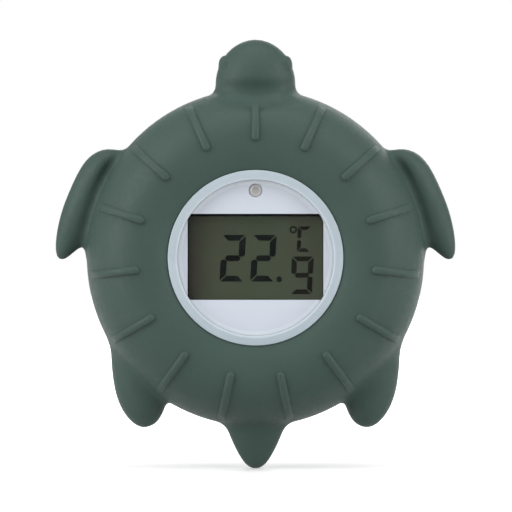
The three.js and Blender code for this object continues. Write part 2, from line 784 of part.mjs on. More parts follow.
function ledLead(side) {
  const place = { x: side * LED_LEAD_SPACING, z: LED_Z };
  const frontY = LED_FLANGE.backY + HAIR;
  return slab(LEAD_THICKNESS, LEAD_THICKNESS, frontY, BOARD_BACK_Y + SOLDERED_LENGTH, place);
}

const SWITCH_BORE_RADIUS = 1.8;
const SWITCH_BORE_DEPTH = 1.5;

function switchBody() {
  const side = 6;
  return cut(
    slab(side, side, BOARD_BACK_Y + HAIR, SWITCH_TOP_Y, BUTTON),
    drum(SWITCH_BORE_RADIUS, SWITCH_TOP_Y - SWITCH_BORE_DEPTH, SWITCH_TOP_Y + PAST, BUTTON, PIN_SEGMENTS),
  );
}

function switchPlunger() {
  const radius = SWITCH_BORE_RADIUS - 2 * HAIR;
  const frontY = SWITCH_TOP_Y - SWITCH_BORE_DEPTH + BOSS_ROOT;
  return drum(radius, frontY, PLUNGER_TIP_Y, BUTTON, PIN_SEGMENTS);
}

// One of a pair of chip capacitors that stand side by side.
function capacitor(index) {
  const size = { x: 1.2, y: 1.1, z: 2 };
  const first = { x: 7, z: 3 };
  const pitch = 2.5;
  const frontY = BOARD_BACK_Y + HAIR;
  return slab(size.x, size.z, frontY, frontY + size.y, { x: first.x + index * pitch, z: first.z });
}

function addBoardParts() {
  addPiece("circuit_board", circuitBoard(), "board");
  BOARD_SCREW_PLACES.forEach((place, i) => addPiece("board_screw_" + (i + 1), boardScrew(place), "steel"));
  addPiece("controller_blob", controllerBlob(), "epoxy");
  addPiece("quartz_crystal", quartzCrystal(), "tin");
  [0, 1].forEach((index) => addPiece("capacitor_" + (index + 1), capacitor(index), "ceramic"));
  addPiece("indicator_led", indicatorLed(), "ledPlastic");
  addPiece("led_lead_left", ledLead(-1), "tin");
  addPiece("led_lead_right", ledLead(1), "tin");
  addPiece("switch_body", switchBody(), "blackPlastic");
  addPiece("switch_plunger", switchPlunger(), "greyButton");
}

// ---------------------------------------------------------------- button and probe

function powerButton() {
  const capThickness = 1.5;
  const edge = 0.5;
  return turned(
    [
      [0, PLUNGER_TIP_Y + PLUNGER_GAP],
      [BUTTON_STEM_RADIUS, PLUNGER_TIP_Y + PLUNGER_GAP],
      [BUTTON_STEM_RADIUS, BUTTON_BACK_Y - capThickness],
      [BUTTON_RADIUS, BUTTON_BACK_Y - capThickness],
      [BUTTON_RADIUS, BUTTON_BACK_Y - edge],
      [BUTTON_RADIUS - edge, BUTTON_BACK_Y],
      [0, BUTTON_BACK_Y],
    ],
    BUTTON,
    DRUM_SEGMENTS,
  );
}

function buttonSeal() {
  const inner = BUTTON_STEM_RADIUS + HAIR;
  const width = 1.6;
  const frontY = BUTTON_POCKET_FLOOR_Y + HAIR / 2;
  const thickness = 0.25;
  return ring(inner, inner + width, frontY, frontY + thickness, BUTTON, DRUM_SEGMENTS);
}

// A turned metal cup, closed at the back where it meets the water.
function probeCap() {
  const bodyFrontY = 9.8;
  const boreRadius = 2.6;
  const endThickness = 0.9;
  const boreEndY = CASE_BACK_Y - endThickness;
  return turned(
    [
      [0, boreEndY],
      [boreRadius, boreEndY],
      [boreRadius, bodyFrontY],
      [PROBE_BODY_RADIUS, bodyFrontY],
      [PROBE_BODY_RADIUS, PROBE_FLANGE_Y],
      [PROBE_FLANGE_RADIUS, PROBE_FLANGE_Y],
      [PROBE_FLANGE_RADIUS, CASE_BACK_Y - FIT],
      [PROBE_FLANGE_RADIUS - FIT, CASE_BACK_Y],
      [0, CASE_BACK_Y],
    ],
    PROBE,
    DRUM_SEGMENTS,
  );
}

function probeSeal() {
  return ring(
    PROBE_BODY_RADIUS + FIT + HAIR,
    PROBE_FLANGE_RADIUS,
    PROBE_SEAT_Y + HAIR / 2,
    PROBE_FLANGE_Y - HAIR / 2,
    PROBE,
    DRUM_SEGMENTS,
  );
}

const THERMISTOR_FRONT_Y = 11;

function thermistor() {
  const radius = 1.2;
  const neckRadius = 0.7;
  const shoulder = 0.8;
  const length = 2.5;
  const drop = new THREE.Path();
  drop.moveTo(0, THERMISTOR_FRONT_Y);
  drop.lineTo(neckRadius, THERMISTOR_FRONT_Y);
  drop.lineTo(radius, THERMISTOR_FRONT_Y + shoulder);
  drop.absellipse(0, THERMISTOR_FRONT_Y + length - radius, radius, radius, 0, Math.PI / 2);
  const roundDivisions = 2;
  const bead = new THREE.LatheGeometry(drop.getPoints(roundDivisions), PIN_SEGMENTS);
  return bead.translate(PROBE.x, 0, PROBE.z);
}

// A lead spreads away from its neighbour on the way down to the board.
function thermistorLead(side) {
  const radius = 0.3;
  const x = PROBE.x + side * 0.45;
  return wire(
    [
      [x, THERMISTOR_FRONT_Y - HAIR, PROBE.z],
      [x + side * 0.2, 7, PROBE.z],
      [x + side * 0.9, 2, PROBE.z - 1],
      [x + side * 0.8, BOARD_BACK_Y + HAIR, PROBE.z - 1.5],
    ],
    radius,
  );
}

function addButtonAndProbe() {
  addPiece("power_button", powerButton(), "greyButton");
  addPiece("button_seal", buttonSeal(), "sealRubber");
  addPiece("probe_cap", probeCap(), "steel");
  addPiece("probe_seal", probeSeal(), "sealRubber");
  addPiece("thermistor", thermistor(), "epoxy");
  addPiece("thermistor_lead_left", thermistorLead(-1), "redWire");
  addPiece("thermistor_lead_right", thermistorLead(1), "blackWire");
}

// ---------------------------------------------------------------- battery

const CONTACT_THICKNESS = 0.25;
const CONTACT_TAIL_Y = 2;

function batteryContactPositive() {
  const topY = CELL_POCKET_TOP_Y - 2 * FIT;
  const place = { x: POSITIVE_CONTACT_X + FIT, z: BATTERY_Z };
  return slab(CONTACT_THICKNESS, CONTACT_WIDTH, CONTACT_TAIL_Y, topY, place);
}

// A spring strip that rises from the floor of the well to the middle of the cell, with a straight
// tail down through the floor.
function batteryContactNegative() {
  const floorY = WELL_FLOOR_Y + HAIR;
  const liftY = CELL_FRONT_Y - HAIR - CONTACT_THICKNESS;
  const bendX = -1;
  const tipX = 2.5;
  const tongue = bentStrip(
    [[NEGATIVE_CONTACT_X, floorY], [bendX, floorY], [tipX, liftY]],
    CONTACT_THICKNESS,
    CONTACT_WIDTH,
    { z: BATTERY_Z },
  );
  const tail = slab(CONTACT_THICKNESS, CONTACT_WIDTH, CONTACT_TAIL_Y, floorY + CONTACT_THICKNESS / 2, {
    x: NEGATIVE_CONTACT_X + CONTACT_THICKNESS / 2,
    z: BATTERY_Z,
  });
  return unite(tongue, tail);
}

function coinCell() {
  const gasketRadius = 8.8;
  const canStartY = CELL_FRONT_Y + 0.35;
  const crimpEndY = CELL_FRONT_Y + 0.75;
  const cellBackY = CELL_FRONT_Y + CELL_THICKNESS;
  const edge = 0.2;
  return turned(
    [
      [0, CELL_FRONT_Y],
      [gasketRadius, CELL_FRONT_Y],
      [gasketRadius, canStartY],
      [CELL_RADIUS, crimpEndY],
      [CELL_RADIUS, cellBackY - edge],
      [CELL_RADIUS - edge, cellBackY],
      [0, cellBackY],
    ],
    { z: BATTERY_Z },
  );
}

const CAP_GROOVE_RADIUS = CAP_CORE_RADIUS - 0.4;
const CAP_GROOVE_WIDTH = 1.2;
const COIN_SLOT = { length: 19, width: 2.2, depth: 1 };

function batteryCap() {
  const grooveY = CAP_SEAT_Y - CAP_GROOVE_WIDTH;
  const hollowRadius = 10.2;
  const hollowEndY = CAP_SEAT_Y - 0.8;
  const blank = turned(
    [
      [0, CAP_END_Y],
      [CAP_CORE_RADIUS, CAP_END_Y],
      [CAP_CORE_RADIUS, grooveY],
      [CAP_GROOVE_RADIUS, grooveY],
      [CAP_GROOVE_RADIUS, CAP_SEAT_Y + HAIR],
      [CAP_FLANGE_RADIUS, CAP_SEAT_Y + HAIR],
      [CAP_FLANGE_RADIUS, CASE_BACK_Y - FIT],
      [CAP_FLANGE_RADIUS - FIT, CASE_BACK_Y],
      [0, CASE_BACK_Y],
    ],
    { z: BATTERY_Z },
  );
  const thread = threadRidge({
    innerRadius: CAP_CORE_RADIUS - THREAD_SINK,
    outerRadius: CAP_CORE_RADIUS + THREAD_DEPTH,
    startAngle: -Math.PI,
    startY: THREAD_START_Y,
  }).translate(0, 0, BATTERY_Z);
  const slotFloorY = CASE_BACK_Y - COIN_SLOT.depth;
  const place = { z: BATTERY_Z };
  const coinSlot = slab(COIN_SLOT.length, COIN_SLOT.width, slotFloorY, CASE_BACK_Y + PAST, place);
  const hollow = drum(hollowRadius, CAP_END_Y - PAST, hollowEndY, place, CASE_SEGMENTS);
  return cut(unite(blank, thread), coinSlot, hollow);
}

function batteryCapSeal() {
  const frontY = CAP_SEAT_Y - CAP_GROOVE_WIDTH + HAIR;
  return ring(CAP_GROOVE_RADIUS + HAIR, WELL_BORE_RADIUS - HAIR, frontY, CAP_SEAT_Y, { z: BATTERY_Z });
}

// A short wire from a contact's tail to the board, with a little slack in its middle.
function contactWire(startX, end) {
  const radius = 0.4;
  const slack = 1;
  const steps = 6;
  const start = [startX, CONTACT_TAIL_Y - HAIR, BATTERY_Z];
  const middle = [
    (startX + end.x) / 2,
    (CONTACT_TAIL_Y + BOARD_BACK_Y) / 2,
    (BATTERY_Z + end.z) / 2 - slack,
  ];
  return wire([start, middle, [end.x, BOARD_BACK_Y + HAIR, end.z]], radius, steps);
}

function addBattery() {
  const positivePad = { x: 13, z: -12 };
  const negativePad = { x: -8, z: -12 };
  addPiece("battery_contact_positive", batteryContactPositive(), "nickel");
  addPiece("battery_contact_negative", batteryContactNegative(), "nickel");
  addPiece("contact_wire_positive", contactWire(POSITIVE_CONTACT_X + FIT, positivePad), "redWire");
  addPiece("contact_wire_negative", contactWire(NEGATIVE_CONTACT_X, negativePad), "blackWire");
  addPiece("coin_cell", coinCell(), "steel");
  addPiece("battery_cap", batteryCap(), "whiteCase");
  addPiece("battery_cap_seal", batteryCapSeal(), "sealRubber");
}

// ---------------------------------------------------------------- assembly

const housing = new THREE.Group();

function addPiece(name, geometry, material) {
  const mesh = new THREE.Mesh(geometry, MATERIALS[material]());
  mesh.name = name;
  housing.add(mesh);
}

addPiece("silicone_jacket", jacket(), "silicone");
addPiece("front_case", frontCase(), "whiteCase");
addPiece("rear_case", rearCase(), "whiteCase");
addPiece("case_seal", caseSeal(), "sealRubber");
CASE_SCREW_PLACES.forEach((place, i) => {
  addPiece("case_screw_" + (i + 1), caseScrew(place), "steel");
  addPiece("screw_plug_" + (i + 1), screwPlug(place), "sealRubber");
});
addPiece("window_lens", windowLens(), "clearWindow");
addPiece("lens_seal", lensSeal(), "sealRubber");
addPiece("face_plate", facePlate(), "facePlate");
addDisplay();
addBoardParts();
addButtonAndProbe();
addBattery();

// The origin is under the tail tip, midway between the foremost ridge and the flat back.
const FRONT_Y = CREST_Y + RIDGE_SINK - RIDGE_TUBE_RADIUS;
housing.position.set(0, -(FRONT_Y + BACK_Y) / 2, -TAIL_TIP_Z);

const thermometer = new THREE.Group();
thermometer.add(housing);

export default thermometer;
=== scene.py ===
import json
import math

import bpy
import numpy as np
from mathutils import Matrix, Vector


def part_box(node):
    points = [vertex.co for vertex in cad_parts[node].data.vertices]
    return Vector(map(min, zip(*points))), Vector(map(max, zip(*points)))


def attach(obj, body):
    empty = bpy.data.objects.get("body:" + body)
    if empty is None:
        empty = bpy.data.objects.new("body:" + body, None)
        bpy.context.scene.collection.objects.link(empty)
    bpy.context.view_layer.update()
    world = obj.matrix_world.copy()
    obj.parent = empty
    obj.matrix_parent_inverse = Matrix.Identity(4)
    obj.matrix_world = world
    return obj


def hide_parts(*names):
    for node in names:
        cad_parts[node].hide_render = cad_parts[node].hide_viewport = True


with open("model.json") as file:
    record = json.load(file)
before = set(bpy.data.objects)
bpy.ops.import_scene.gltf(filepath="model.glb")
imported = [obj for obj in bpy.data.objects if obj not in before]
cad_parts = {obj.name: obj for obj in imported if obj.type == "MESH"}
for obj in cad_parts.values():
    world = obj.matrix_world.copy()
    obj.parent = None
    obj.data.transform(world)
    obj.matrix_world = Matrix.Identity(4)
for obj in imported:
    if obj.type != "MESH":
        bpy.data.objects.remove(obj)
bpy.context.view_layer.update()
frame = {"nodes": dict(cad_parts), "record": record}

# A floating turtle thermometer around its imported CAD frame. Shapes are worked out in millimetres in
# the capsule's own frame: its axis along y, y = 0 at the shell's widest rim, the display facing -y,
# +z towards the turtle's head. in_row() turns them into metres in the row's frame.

# ---- driving dimensions in millimetres, and counts

MM = 0.001
SHELL_RADIUS = 40.5
CREST_RADIUS = 27.5
CREST_Y = -16.4
BACK_Y = 15.0
BACK_FLAT_RADIUS = 36.5
WINDOW_EDGE_Y = -14.75
WINDOW_RADIUS = 20.8
CAVITY_RADIUS = 33.3
CAVITY_CHAMFER = 3.4
DECK_Y = -12.6
FIT = 0.3

RIDGE_COUNT = 15
RIDGE_INNER = 27.5
RIDGE_OUTER = 39.4
RIDGE_HALF_WIDTH = 0.95
RIDGE_HEIGHT = 0.9
RIDGE_ROOT = 0.8
RIDGE_FADE = 4.0
RIDGE_SIDES = 20
TOP_RIDGE_OUTER = 36.6

CASE_RADIUS = 33.0
CASE_WALL = 2.2
CASE_CHAMFER = 3.0
CASE_BACK_Y = 14.7
PARTING_Y = -2.0
TURRET_Y = -13.1
TURRET_BORE = 19.5
DISPLAY_WALL_Y = -11.2
LENS_RADIUS = 20.75
LENS_FRONT_Y = -15.6
LENS_BACK_Y = -13.6
FACE_RADIUS = 19.3
FACE_FRONT_Y = -13.4
FACE_BACK_Y = -12.85
VIEW_WIDTH = 32.2
VIEW_HEIGHT = 20.4
DISPLAY_Z = 0.2
INK_Y = -10.885
INK_THICKNESS = 0.02
LED_Z = 15.94
LED_RADIUS = 1.5
LED_TIP_Y = -13.3
BOARD_FRONT_Y = -5.0
BATTERY_Z = -8.0
CELL_FRONT_Y = 5.4
WELL_FLOOR_Y = 4.6
CELL_POCKET_TOP_Y = 8.8
CELL_POCKET_RADIUS = 10.4
WELL_BORE_RADIUS = 13.3
CAP_SEAT_Y = 13.1
CAP_END_Y = 8.95
CAP_FLANGE_RADIUS = 14.5
CAP_CORE_RADIUS = 12.2
THREAD_PITCH = 2.0
THREAD_START_Y = 9.4
THREAD_DEPTH = 0.8
THREAD_WIDTH = 0.7
THREAD_STEPS = 96
BUTTON = (-8.5, 16.0)
BUTTON_RADIUS = 4.5
BUTTON_BACK_Y = 14.4
PROBE = (8.5, 16.0)
CASE_SCREW_CIRCLE = 27.0
SCREW_WELL_RADIUS = 2.9
BOSS_FLOOR_Y = CASE_BACK_Y - CASE_WALL - 3.0
MARK_DEPTH = 0.45
MARK_CIRCLE = 17.3

NET_STEP = 0.6

# Degrees between faces up to which an edge is shaded smooth.
SMOOTH_ANGLE = 32

# How strongly the surround lights the scene, where the camera sees it at 1, and the floor's own glow
# near the object and far from it.
SURROUND_LIGHT = 0.465
FLOOR_GLOW_NEAR = 0.25
FLOOR_GLOW_FAR = 0.95

case_low, case_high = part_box("front_case")
AXIS_Z = (case_low.z + case_high.z) / 2 / MM
RIM_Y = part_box("silicone_jacket")[1].y / MM - BACK_Y


def in_row(points):
    """Metres in the row's frame, from millimetres in the capsule's own frame."""
    return (np.asarray(points, float) + (0, RIM_Y, AXIS_Z)) * MM


# ---- meshes


def new_object(name, points, faces):
    mesh = bpy.data.meshes.new(name)
    mesh.from_pydata(in_row(points).tolist(), [], [list(map(int, face)) for face in faces])
    mesh.validate()
    thing = bpy.data.objects.new(name, mesh)
    bpy.context.scene.collection.objects.link(thing)
    return thing


def bend(start, middle, end, t):
    """The point t, from 0 to 1, on a curve from start to end that leans towards middle."""
    return (1 - t) ** 2 * start + 2 * t * (1 - t) * middle + t ** 2 * end


def rounded(corners, steps=4, closed=False):
    """Points of an outline. A corner is (u, v), or (u, v, radius) to round it off."""
    points = []
    for i, corner in enumerate(corners):
        here = np.array(corner[:2], float)
        end = not closed and i in (0, len(corners) - 1)
        if len(corner) == 2 or end:
            points.append(here)
            continue
        before = np.array(corners[i - 1][:2], float)
        after = np.array(corners[(i + 1) % len(corners)][:2], float)
        start = here + corner[2] * (before - here) / np.linalg.norm(before - here)
        finish = here + corner[2] * (after - here) / np.linalg.norm(after - here)
        points += [bend(start, here, finish, t) for t in np.linspace(0, 1, steps + 1)]
    return np.array(points)


def lathe(name, profile, segments=128, centre=(0, 0), closed=False):
    """A profile of (radius, y) corners, rounded off where they have a third number, turned about the
    y axis through centre, an (x, z) place."""
    angles = 2 * math.pi * np.arange(segments) / segments
    points, rings = [], []
    for radius, y in rounded(profile, closed=closed):
        if radius < 1e-6:
            rings.append([len(points)] * segments)
            points.append((centre[0], y, centre[1]))
            continue
        rings.append(list(range(len(points), len(points) + segments)))
        for angle in angles:
            points.append((centre[0] + radius * math.sin(angle), y, centre[1] + radius * math.cos(angle)))
    if closed:
        rings.append(rings[0])
    faces = []
    for near, far in zip(rings, rings[1:]):
        for i in range(segments):
            j = (i + 1) % segments
            corners = list(dict.fromkeys((near[i], near[j], far[j], far[i])))
            if len(corners) > 2:
                faces.append(corners)
    return new_object(name, points, faces)


def washer(name, inner, outer, front_y, back_y, centre=(0, 0), segments=32, soft=0.0):
    """A flat ring, with its corners rounded off by soft."""
    corners = [(inner, front_y), (outer, front_y), (outer, back_y), (inner, back_y)]
    if soft:
        corners = [(*corner, soft) for corner in corners]
    return lathe(name, corners, segments, centre, closed=True)


def tube_faces(rings, count):
    """The faces of a closed tube through that many rings of count points each, with its two ends."""
    faces = []
    for near in range(0, count * (rings - 1), count):
        far = near + count
        for k in range(count):
            j = (k + 1) % count
            faces.append([near + k, far + k, far + j, near + j])
    last = range(count * (rings - 1), count * rings)
    return faces + [list(range(count)), list(last)[::-1]]


def around(centre, radius, degrees):
    """The (x, z) places on a circle about centre, at angles in degrees from its top."""
    x, z = centre
    return [(x + radius * math.sin(a), z + radius * math.cos(a)) for a in np.radians(degrees)]


def prism(name, outline, front_y, back_y):
    """An outline of (x, z) points, anticlockwise seen from the front, carried from front_y to back_y."""
    count = len(outline)
    points = [(x, front_y, z) for x, z in outline] + [(x, back_y, z) for x, z in outline]
    faces = [list(range(count)), list(range(2 * count - 1, count - 1, -1))]
    for i in range(count):
        j = (i + 1) % count
        faces.append([j, i, count + i, count + j])
    return new_object(name, points, faces)


def rectangle(width, height, radius=0.0, centre=(0, 0), steps=4):
    x, z = centre
    corners = [(-1, -1), (1, -1), (1, 1), (-1, 1)]
    outline = [(x + u * width / 2, z + v * height / 2, radius) for u, v in corners]
    return rounded(outline, steps, closed=True) if radius else np.array(outline)[:, :2]


def drum(name, radius, front_y, back_y, centre=(0, 0), segments=64):
    return lathe(name, [(0, front_y), (radius, front_y), (radius, back_y), (0, back_y)], segments, centre)


def combine(base, tools, operation="DIFFERENCE"):
    """Cuts the tools from the base, or joins them to it, and removes them."""
    for tool in tools:
        step = base.modifiers.new("combine", "BOOLEAN")
        step.operation = operation
        step.solver = "MANIFOLD"
        step.object = tool
    bpy.context.view_layer.update()
    shaped = base.evaluated_get(bpy.context.evaluated_depsgraph_get())
    mesh = bpy.data.meshes.new_from_object(shaped)
    base.modifiers.clear()
    base.data = mesh
    for tool in tools:
        bpy.data.objects.remove(tool)
    return base


# ---- jacket shape as a distance


def polyline_distance(points, outline):
    """How far each (u, v) point is from an open outline."""
    best = np.full(len(points), np.inf)
    for start, end in zip(outline, outline[1:]):
        span = end - start
        along = np.clip(((points - start) @ span) / max(span @ span, 1e-12), 0, 1)
        best = np.minimum(best, np.linalg.norm(points - start - along[:, None] * span, axis=1))
    return best


def within(points, outline):
    """Which (u, v) points are inside a closed outline."""
    inside = np.zeros(len(points), bool)
    for (u0, v0), (u1, v1) in zip(outline, np.roll(outline, -1, axis=0)):
        if v0 == v1:
            continue
        crosses = (points[:, 1] < v0) != (points[:, 1] < v1)
        meet = u0 + (points[:, 1] - v0) * (u1 - u0) / (v1 - v0)
        inside ^= crosses & (points[:, 0] < meet)
    return inside


def quarter(centre, radii, start, end, steps=24):
    angles = np.radians(np.linspace(start, end, steps + 1))
    return np.column_stack([centre[0] + radii[0] * np.cos(angles), centre[1] + radii[1] * np.sin(angles)])


def shell_outline():
    """Half the shell's section, from the axis at the front round the rim to the axis at the back."""
    t = np.linspace(0, 1, 13)[:, None]
    edge = np.array([WINDOW_RADIUS, WINDOW_EDGE_Y])
    middle = np.array([(WINDOW_RADIUS + CREST_RADIUS) / 2, CREST_Y])
    dish = bend(edge, middle, np.array([CREST_RADIUS, CREST_Y]), t)
    dome = quarter((CREST_RADIUS, 0), (SHELL_RADIUS - CREST_RADIUS, -CREST_Y), -90, 0)
    back = quarter((BACK_FLAT_RADIUS, 0), (SHELL_RADIUS - BACK_FLAT_RADIUS, BACK_Y), 0, 90)
    return np.vstack([[(0, WINDOW_EDGE_Y)], dish, dome[1:], back[1:], [(0, BACK_Y)]])


class SectionTable:
    """The signed distance from the shell's section, looked up by radius and y."""

    def __init__(self, outline, step=0.25, reach=(60, 26)):
        self.step, self.low_y = step, -reach[1]
        radii = np.arange(0, reach[0], step)
        depths = np.arange(-reach[1], reach[1], step)
        grid = np.stack(np.meshgrid(radii, depths, indexing="ij"), -1).reshape(-1, 2)
        distance = polyline_distance(grid, outline)
        distance[within(grid, outline)] *= -1
        self.table = distance.reshape(len(radii), len(depths))

    def __call__(self, radius, y):
        u = np.clip(radius / self.step, 0, self.table.shape[0] - 1.001)
        v = np.clip((y - self.low_y) / self.step, 0, self.table.shape[1] - 1.001)
        i, j = u.astype(int), v.astype(int)
        u, v = u - i, v - j
        near = self.table[i, j] * (1 - v) + self.table[i, j + 1] * v
        far = self.table[i + 1, j] * (1 - v) + self.table[i + 1, j + 1] * v
        return near * (1 - u) + far * u


# A limb is a bead along a curve through three (x, z) points, root and tip wide to each side of it. From
# tip_start, a share of its length, it closes like a superellipse of that power. depth is its thickness
# over its width and y its middle, at the root and at the tip, and rise is between which shares of the
# length they change. fillet joins it to the shell, front_fillet takes its place near the crest, and
# low_fillet is added to it below LOW_FILLET_TOP_Z.
LIMBS = {
    "head": dict(spine=((0, 34), (0, 44), (0, 52.3)), root=9.64, tip=9.5, tip_start=0.39, power=1.94,
                 depth=(0.74, 0.74), y=(3, -0.25), rise=(0, 0.5), fillet=2.2, front_fillet=4),
    "tail": dict(spine=((0, -32), (0, -47), (0, -50.65)), root=9.7, tip=1.4, tip_start=0.78, power=3,
                 depth=(0.66, 0.66), y=(0, 0), fillet=2.3, front_fillet=3),
    "flipper": dict(spine=((33.2, 15.8), (35.1, 29.5), (46.9, -0.4)), root=7, tip=3.5, tip_start=0.75,
                    power=2.2, depth=(0.9, 0.88), y=(-1.5, -0.5), fillet=2.2, low_fillet=3,
                    front_fillet=0.9),
    "leg": dict(spine=((26.2, -17.9), (28.6, -32.2), (25.3, -40.5)), root=8.55, tip=5, tip_start=0.46,
                power=2.34, depth=(0.88, 0.88), y=(0.5, 0.5), fillet=1.7, front_fillet=1.8),
}
BLEND_REACH = 8.0
LOW_FILLET_TOP_Z = 9.0
FRONT_FILLET_RATE = 1.6
FRONT_FILLET_LAG = 0.2
EYE = dict(centre=(7.3, -1.95, 46.2), radii=(1.55, 2.6, 2.2), edge=0.65)
NECK_DIP = dict(centre=(0, -11, 39.1), radii=(9.5, 4.2, 3), edge=3)
GROOVE = dict(ring=39.4, y=-6.9, radius=3.2, edge=2)


def limb_distance(x, y, z, limb, samples=48):
    """About how far a point is from a limb: a bead bent along its spine and flattened in y."""
    a, b, c = (np.array(point, float) for point in limb["spine"])
    spine = bend(a, b, c, np.linspace(0, 1, samples + 1)[:, None])
    best, where = np.full(len(x), np.inf), np.zeros(len(x))
    for i in range(samples):
        span = spine[i + 1] - spine[i]
        du, dv = x - spine[i][0], z - spine[i][1]
        along = np.clip((du * span[0] + dv * span[1]) / (span @ span), 0, 1)
        gap = (du - along * span[0]) ** 2 + (dv - along * span[1]) ** 2
        closer = gap < best
        best = np.where(closer, gap, best)
        where = np.where(closer, (i + along) / samples, where)
    into_tip = np.clip((where - limb["tip_start"]) / (1 - limb["tip_start"]), 0, 1)
    width = limb["root"] + (limb["tip"] - limb["root"]) * where
    width = width * (1 - into_tip ** limb["power"]) ** (1 / limb["power"])
    start, end = limb.get("rise", (0, 1))
    t = np.clip((where - start) / (end - start), 0, 1)
    t = t * t * (3 - 2 * t)
    middle, depth = ((1 - t) * limb[name][0] + t * limb[name][1] for name in ("y", "depth"))
    return np.sqrt(best + ((y - middle) / depth) ** 2) - width


def egg_distance(x, y, z, egg):
    """About how far a point is from an egg: a closed eye, or the hollow in front of the neck."""
    offset = np.stack([x, y, z], -1) - egg["centre"]
    reach = np.linalg.norm(offset / egg["radii"], axis=1)
    slope = np.linalg.norm(offset / np.square(egg["radii"]), axis=1)
    return reach * (reach - 1) / np.maximum(slope, 1e-6)


def blend_min(a, b, size):
    """The smaller of two distances, with a fillet of about that size where they meet."""
    h = np.clip(0.5 + 0.5 * (b - a) / size, 0, 1)
    return b + (a - b) * h - size * h * (1 - h)


shell_section = SectionTable(shell_outline())


def jacket_distance(points):
    """The signed distance from the turtle's outside, before the capsule's hollow is cut."""
    x, y, z = points.T
    side = np.abs(x)
    whole = shell_section(np.hypot(x, z), y)
    for name, limb in LIMBS.items():
        spine = np.array(limb["spine"])
        reach = limb["root"] + BLEND_REACH
        (left, bottom), (right, top) = spine.min(0) - reach, spine.max(0) + reach
        close = (side > left) & (side < right) & (z > bottom) & (z < top)
        bead = limb_distance(side[close], y[close], z[close], limb)
        if name == "flipper":
            ring = np.hypot(side[close], z[close]) - GROOVE["ring"]
            groove = np.hypot(ring, y[close] - GROOVE["y"]) - GROOVE["radius"]
            bead = -blend_min(-bead, groove, GROOVE["edge"])
        forward = np.clip(y[close] / CREST_Y * FRONT_FILLET_RATE - FRONT_FILLET_LAG, 0, 1)
        low = np.clip(1 - z[close] / LOW_FILLET_TOP_Z, 0, 1)
        size = limb["fillet"] + limb.get("low_fillet", 0) * low
        size += (limb["front_fillet"] - size) * forward
        whole[close] = blend_min(whole[close], bead, size)
    close = z > NECK_DIP["centre"][2] - BLEND_REACH
    eye, dip = (egg_distance(side[close], y[close], z[close], egg) for egg in (EYE, NECK_DIP))
    whole[close] = blend_min(whole[close], eye, EYE["edge"])
    whole[close] = -blend_min(-whole[close], dip, NECK_DIP["edge"])
    return whole


def surface_net(values, origin, step):
    """A closed quad mesh of a sampled distance's zero surface, with one point in each crossed cell."""
    cells = tuple(n - 1 for n in values.shape)
    total, count = np.zeros(cells + (3,)), np.zeros(cells)
    for axis in range(3):
        others = [k for k in range(3) if k != axis]
        for corner in ((0, 0), (0, 1), (1, 0), (1, 1)):
            start = [slice(0, n) for n in cells]
            for k, offset in zip(others, corner):
                start[k] = slice(offset, offset + cells[k])
            end = list(start)
            end[axis] = slice(1, 1 + cells[axis])
            a, b = values[tuple(start)], values[tuple(end)]
            crossed = (a < 0) != (b < 0)
            count += crossed
            total[..., axis][crossed] += a[crossed] / (a[crossed] - b[crossed])
            for k, offset in zip(others, corner):
                total[..., k] += crossed * offset
    active = count > 0
    index = np.full(cells, -1)
    index[active] = np.arange(active.sum())
    points = origin + step * (np.argwhere(active) + total[active] / count[active][:, None])
    faces = []
    for axis in range(3):
        u, v = (axis + 1) % 3, (axis + 2) % 3
        start, end = [slice(1, n) for n in cells], [slice(1, n) for n in cells]
        start[axis], end[axis] = slice(0, cells[axis]), slice(1, 1 + cells[axis])
        a, b = values[tuple(start)], values[tuple(end)]
        where = np.argwhere((a < 0) != (b < 0))
        leaving = a[tuple(where.T)] < 0
        for k in (u, v):
            where[:, k] += 1
        ring = []
        for du, dv in ((-1, -1), (0, -1), (0, 0), (-1, 0)):
            cell = where.copy()
            cell[:, u] += du
            cell[:, v] += dv
            ring.append(index[tuple(cell.T)])
        quads = np.column_stack(ring)
        quads[~leaving] = quads[~leaving][:, ::-1]
        faces.append(quads)
    return points, np.vstack(faces)


def onto_surface(points, distance, rounds=4, probe=0.02):
    """Moves points onto the distance's zero surface, a Newton step at a time."""
    for _ in range(rounds):
        value = distance(points)
        slope = np.empty_like(points)
        for k in range(3):
            shift = np.zeros(3)
            shift[k] = probe
            slope[:, k] = (distance(points + shift) - distance(points - shift)) / (2 * probe)
        step = value / np.maximum((slope ** 2).sum(1), 0.2)
        points = points - np.clip(step, -NET_STEP, NET_STEP)[:, None] * slope
    return points


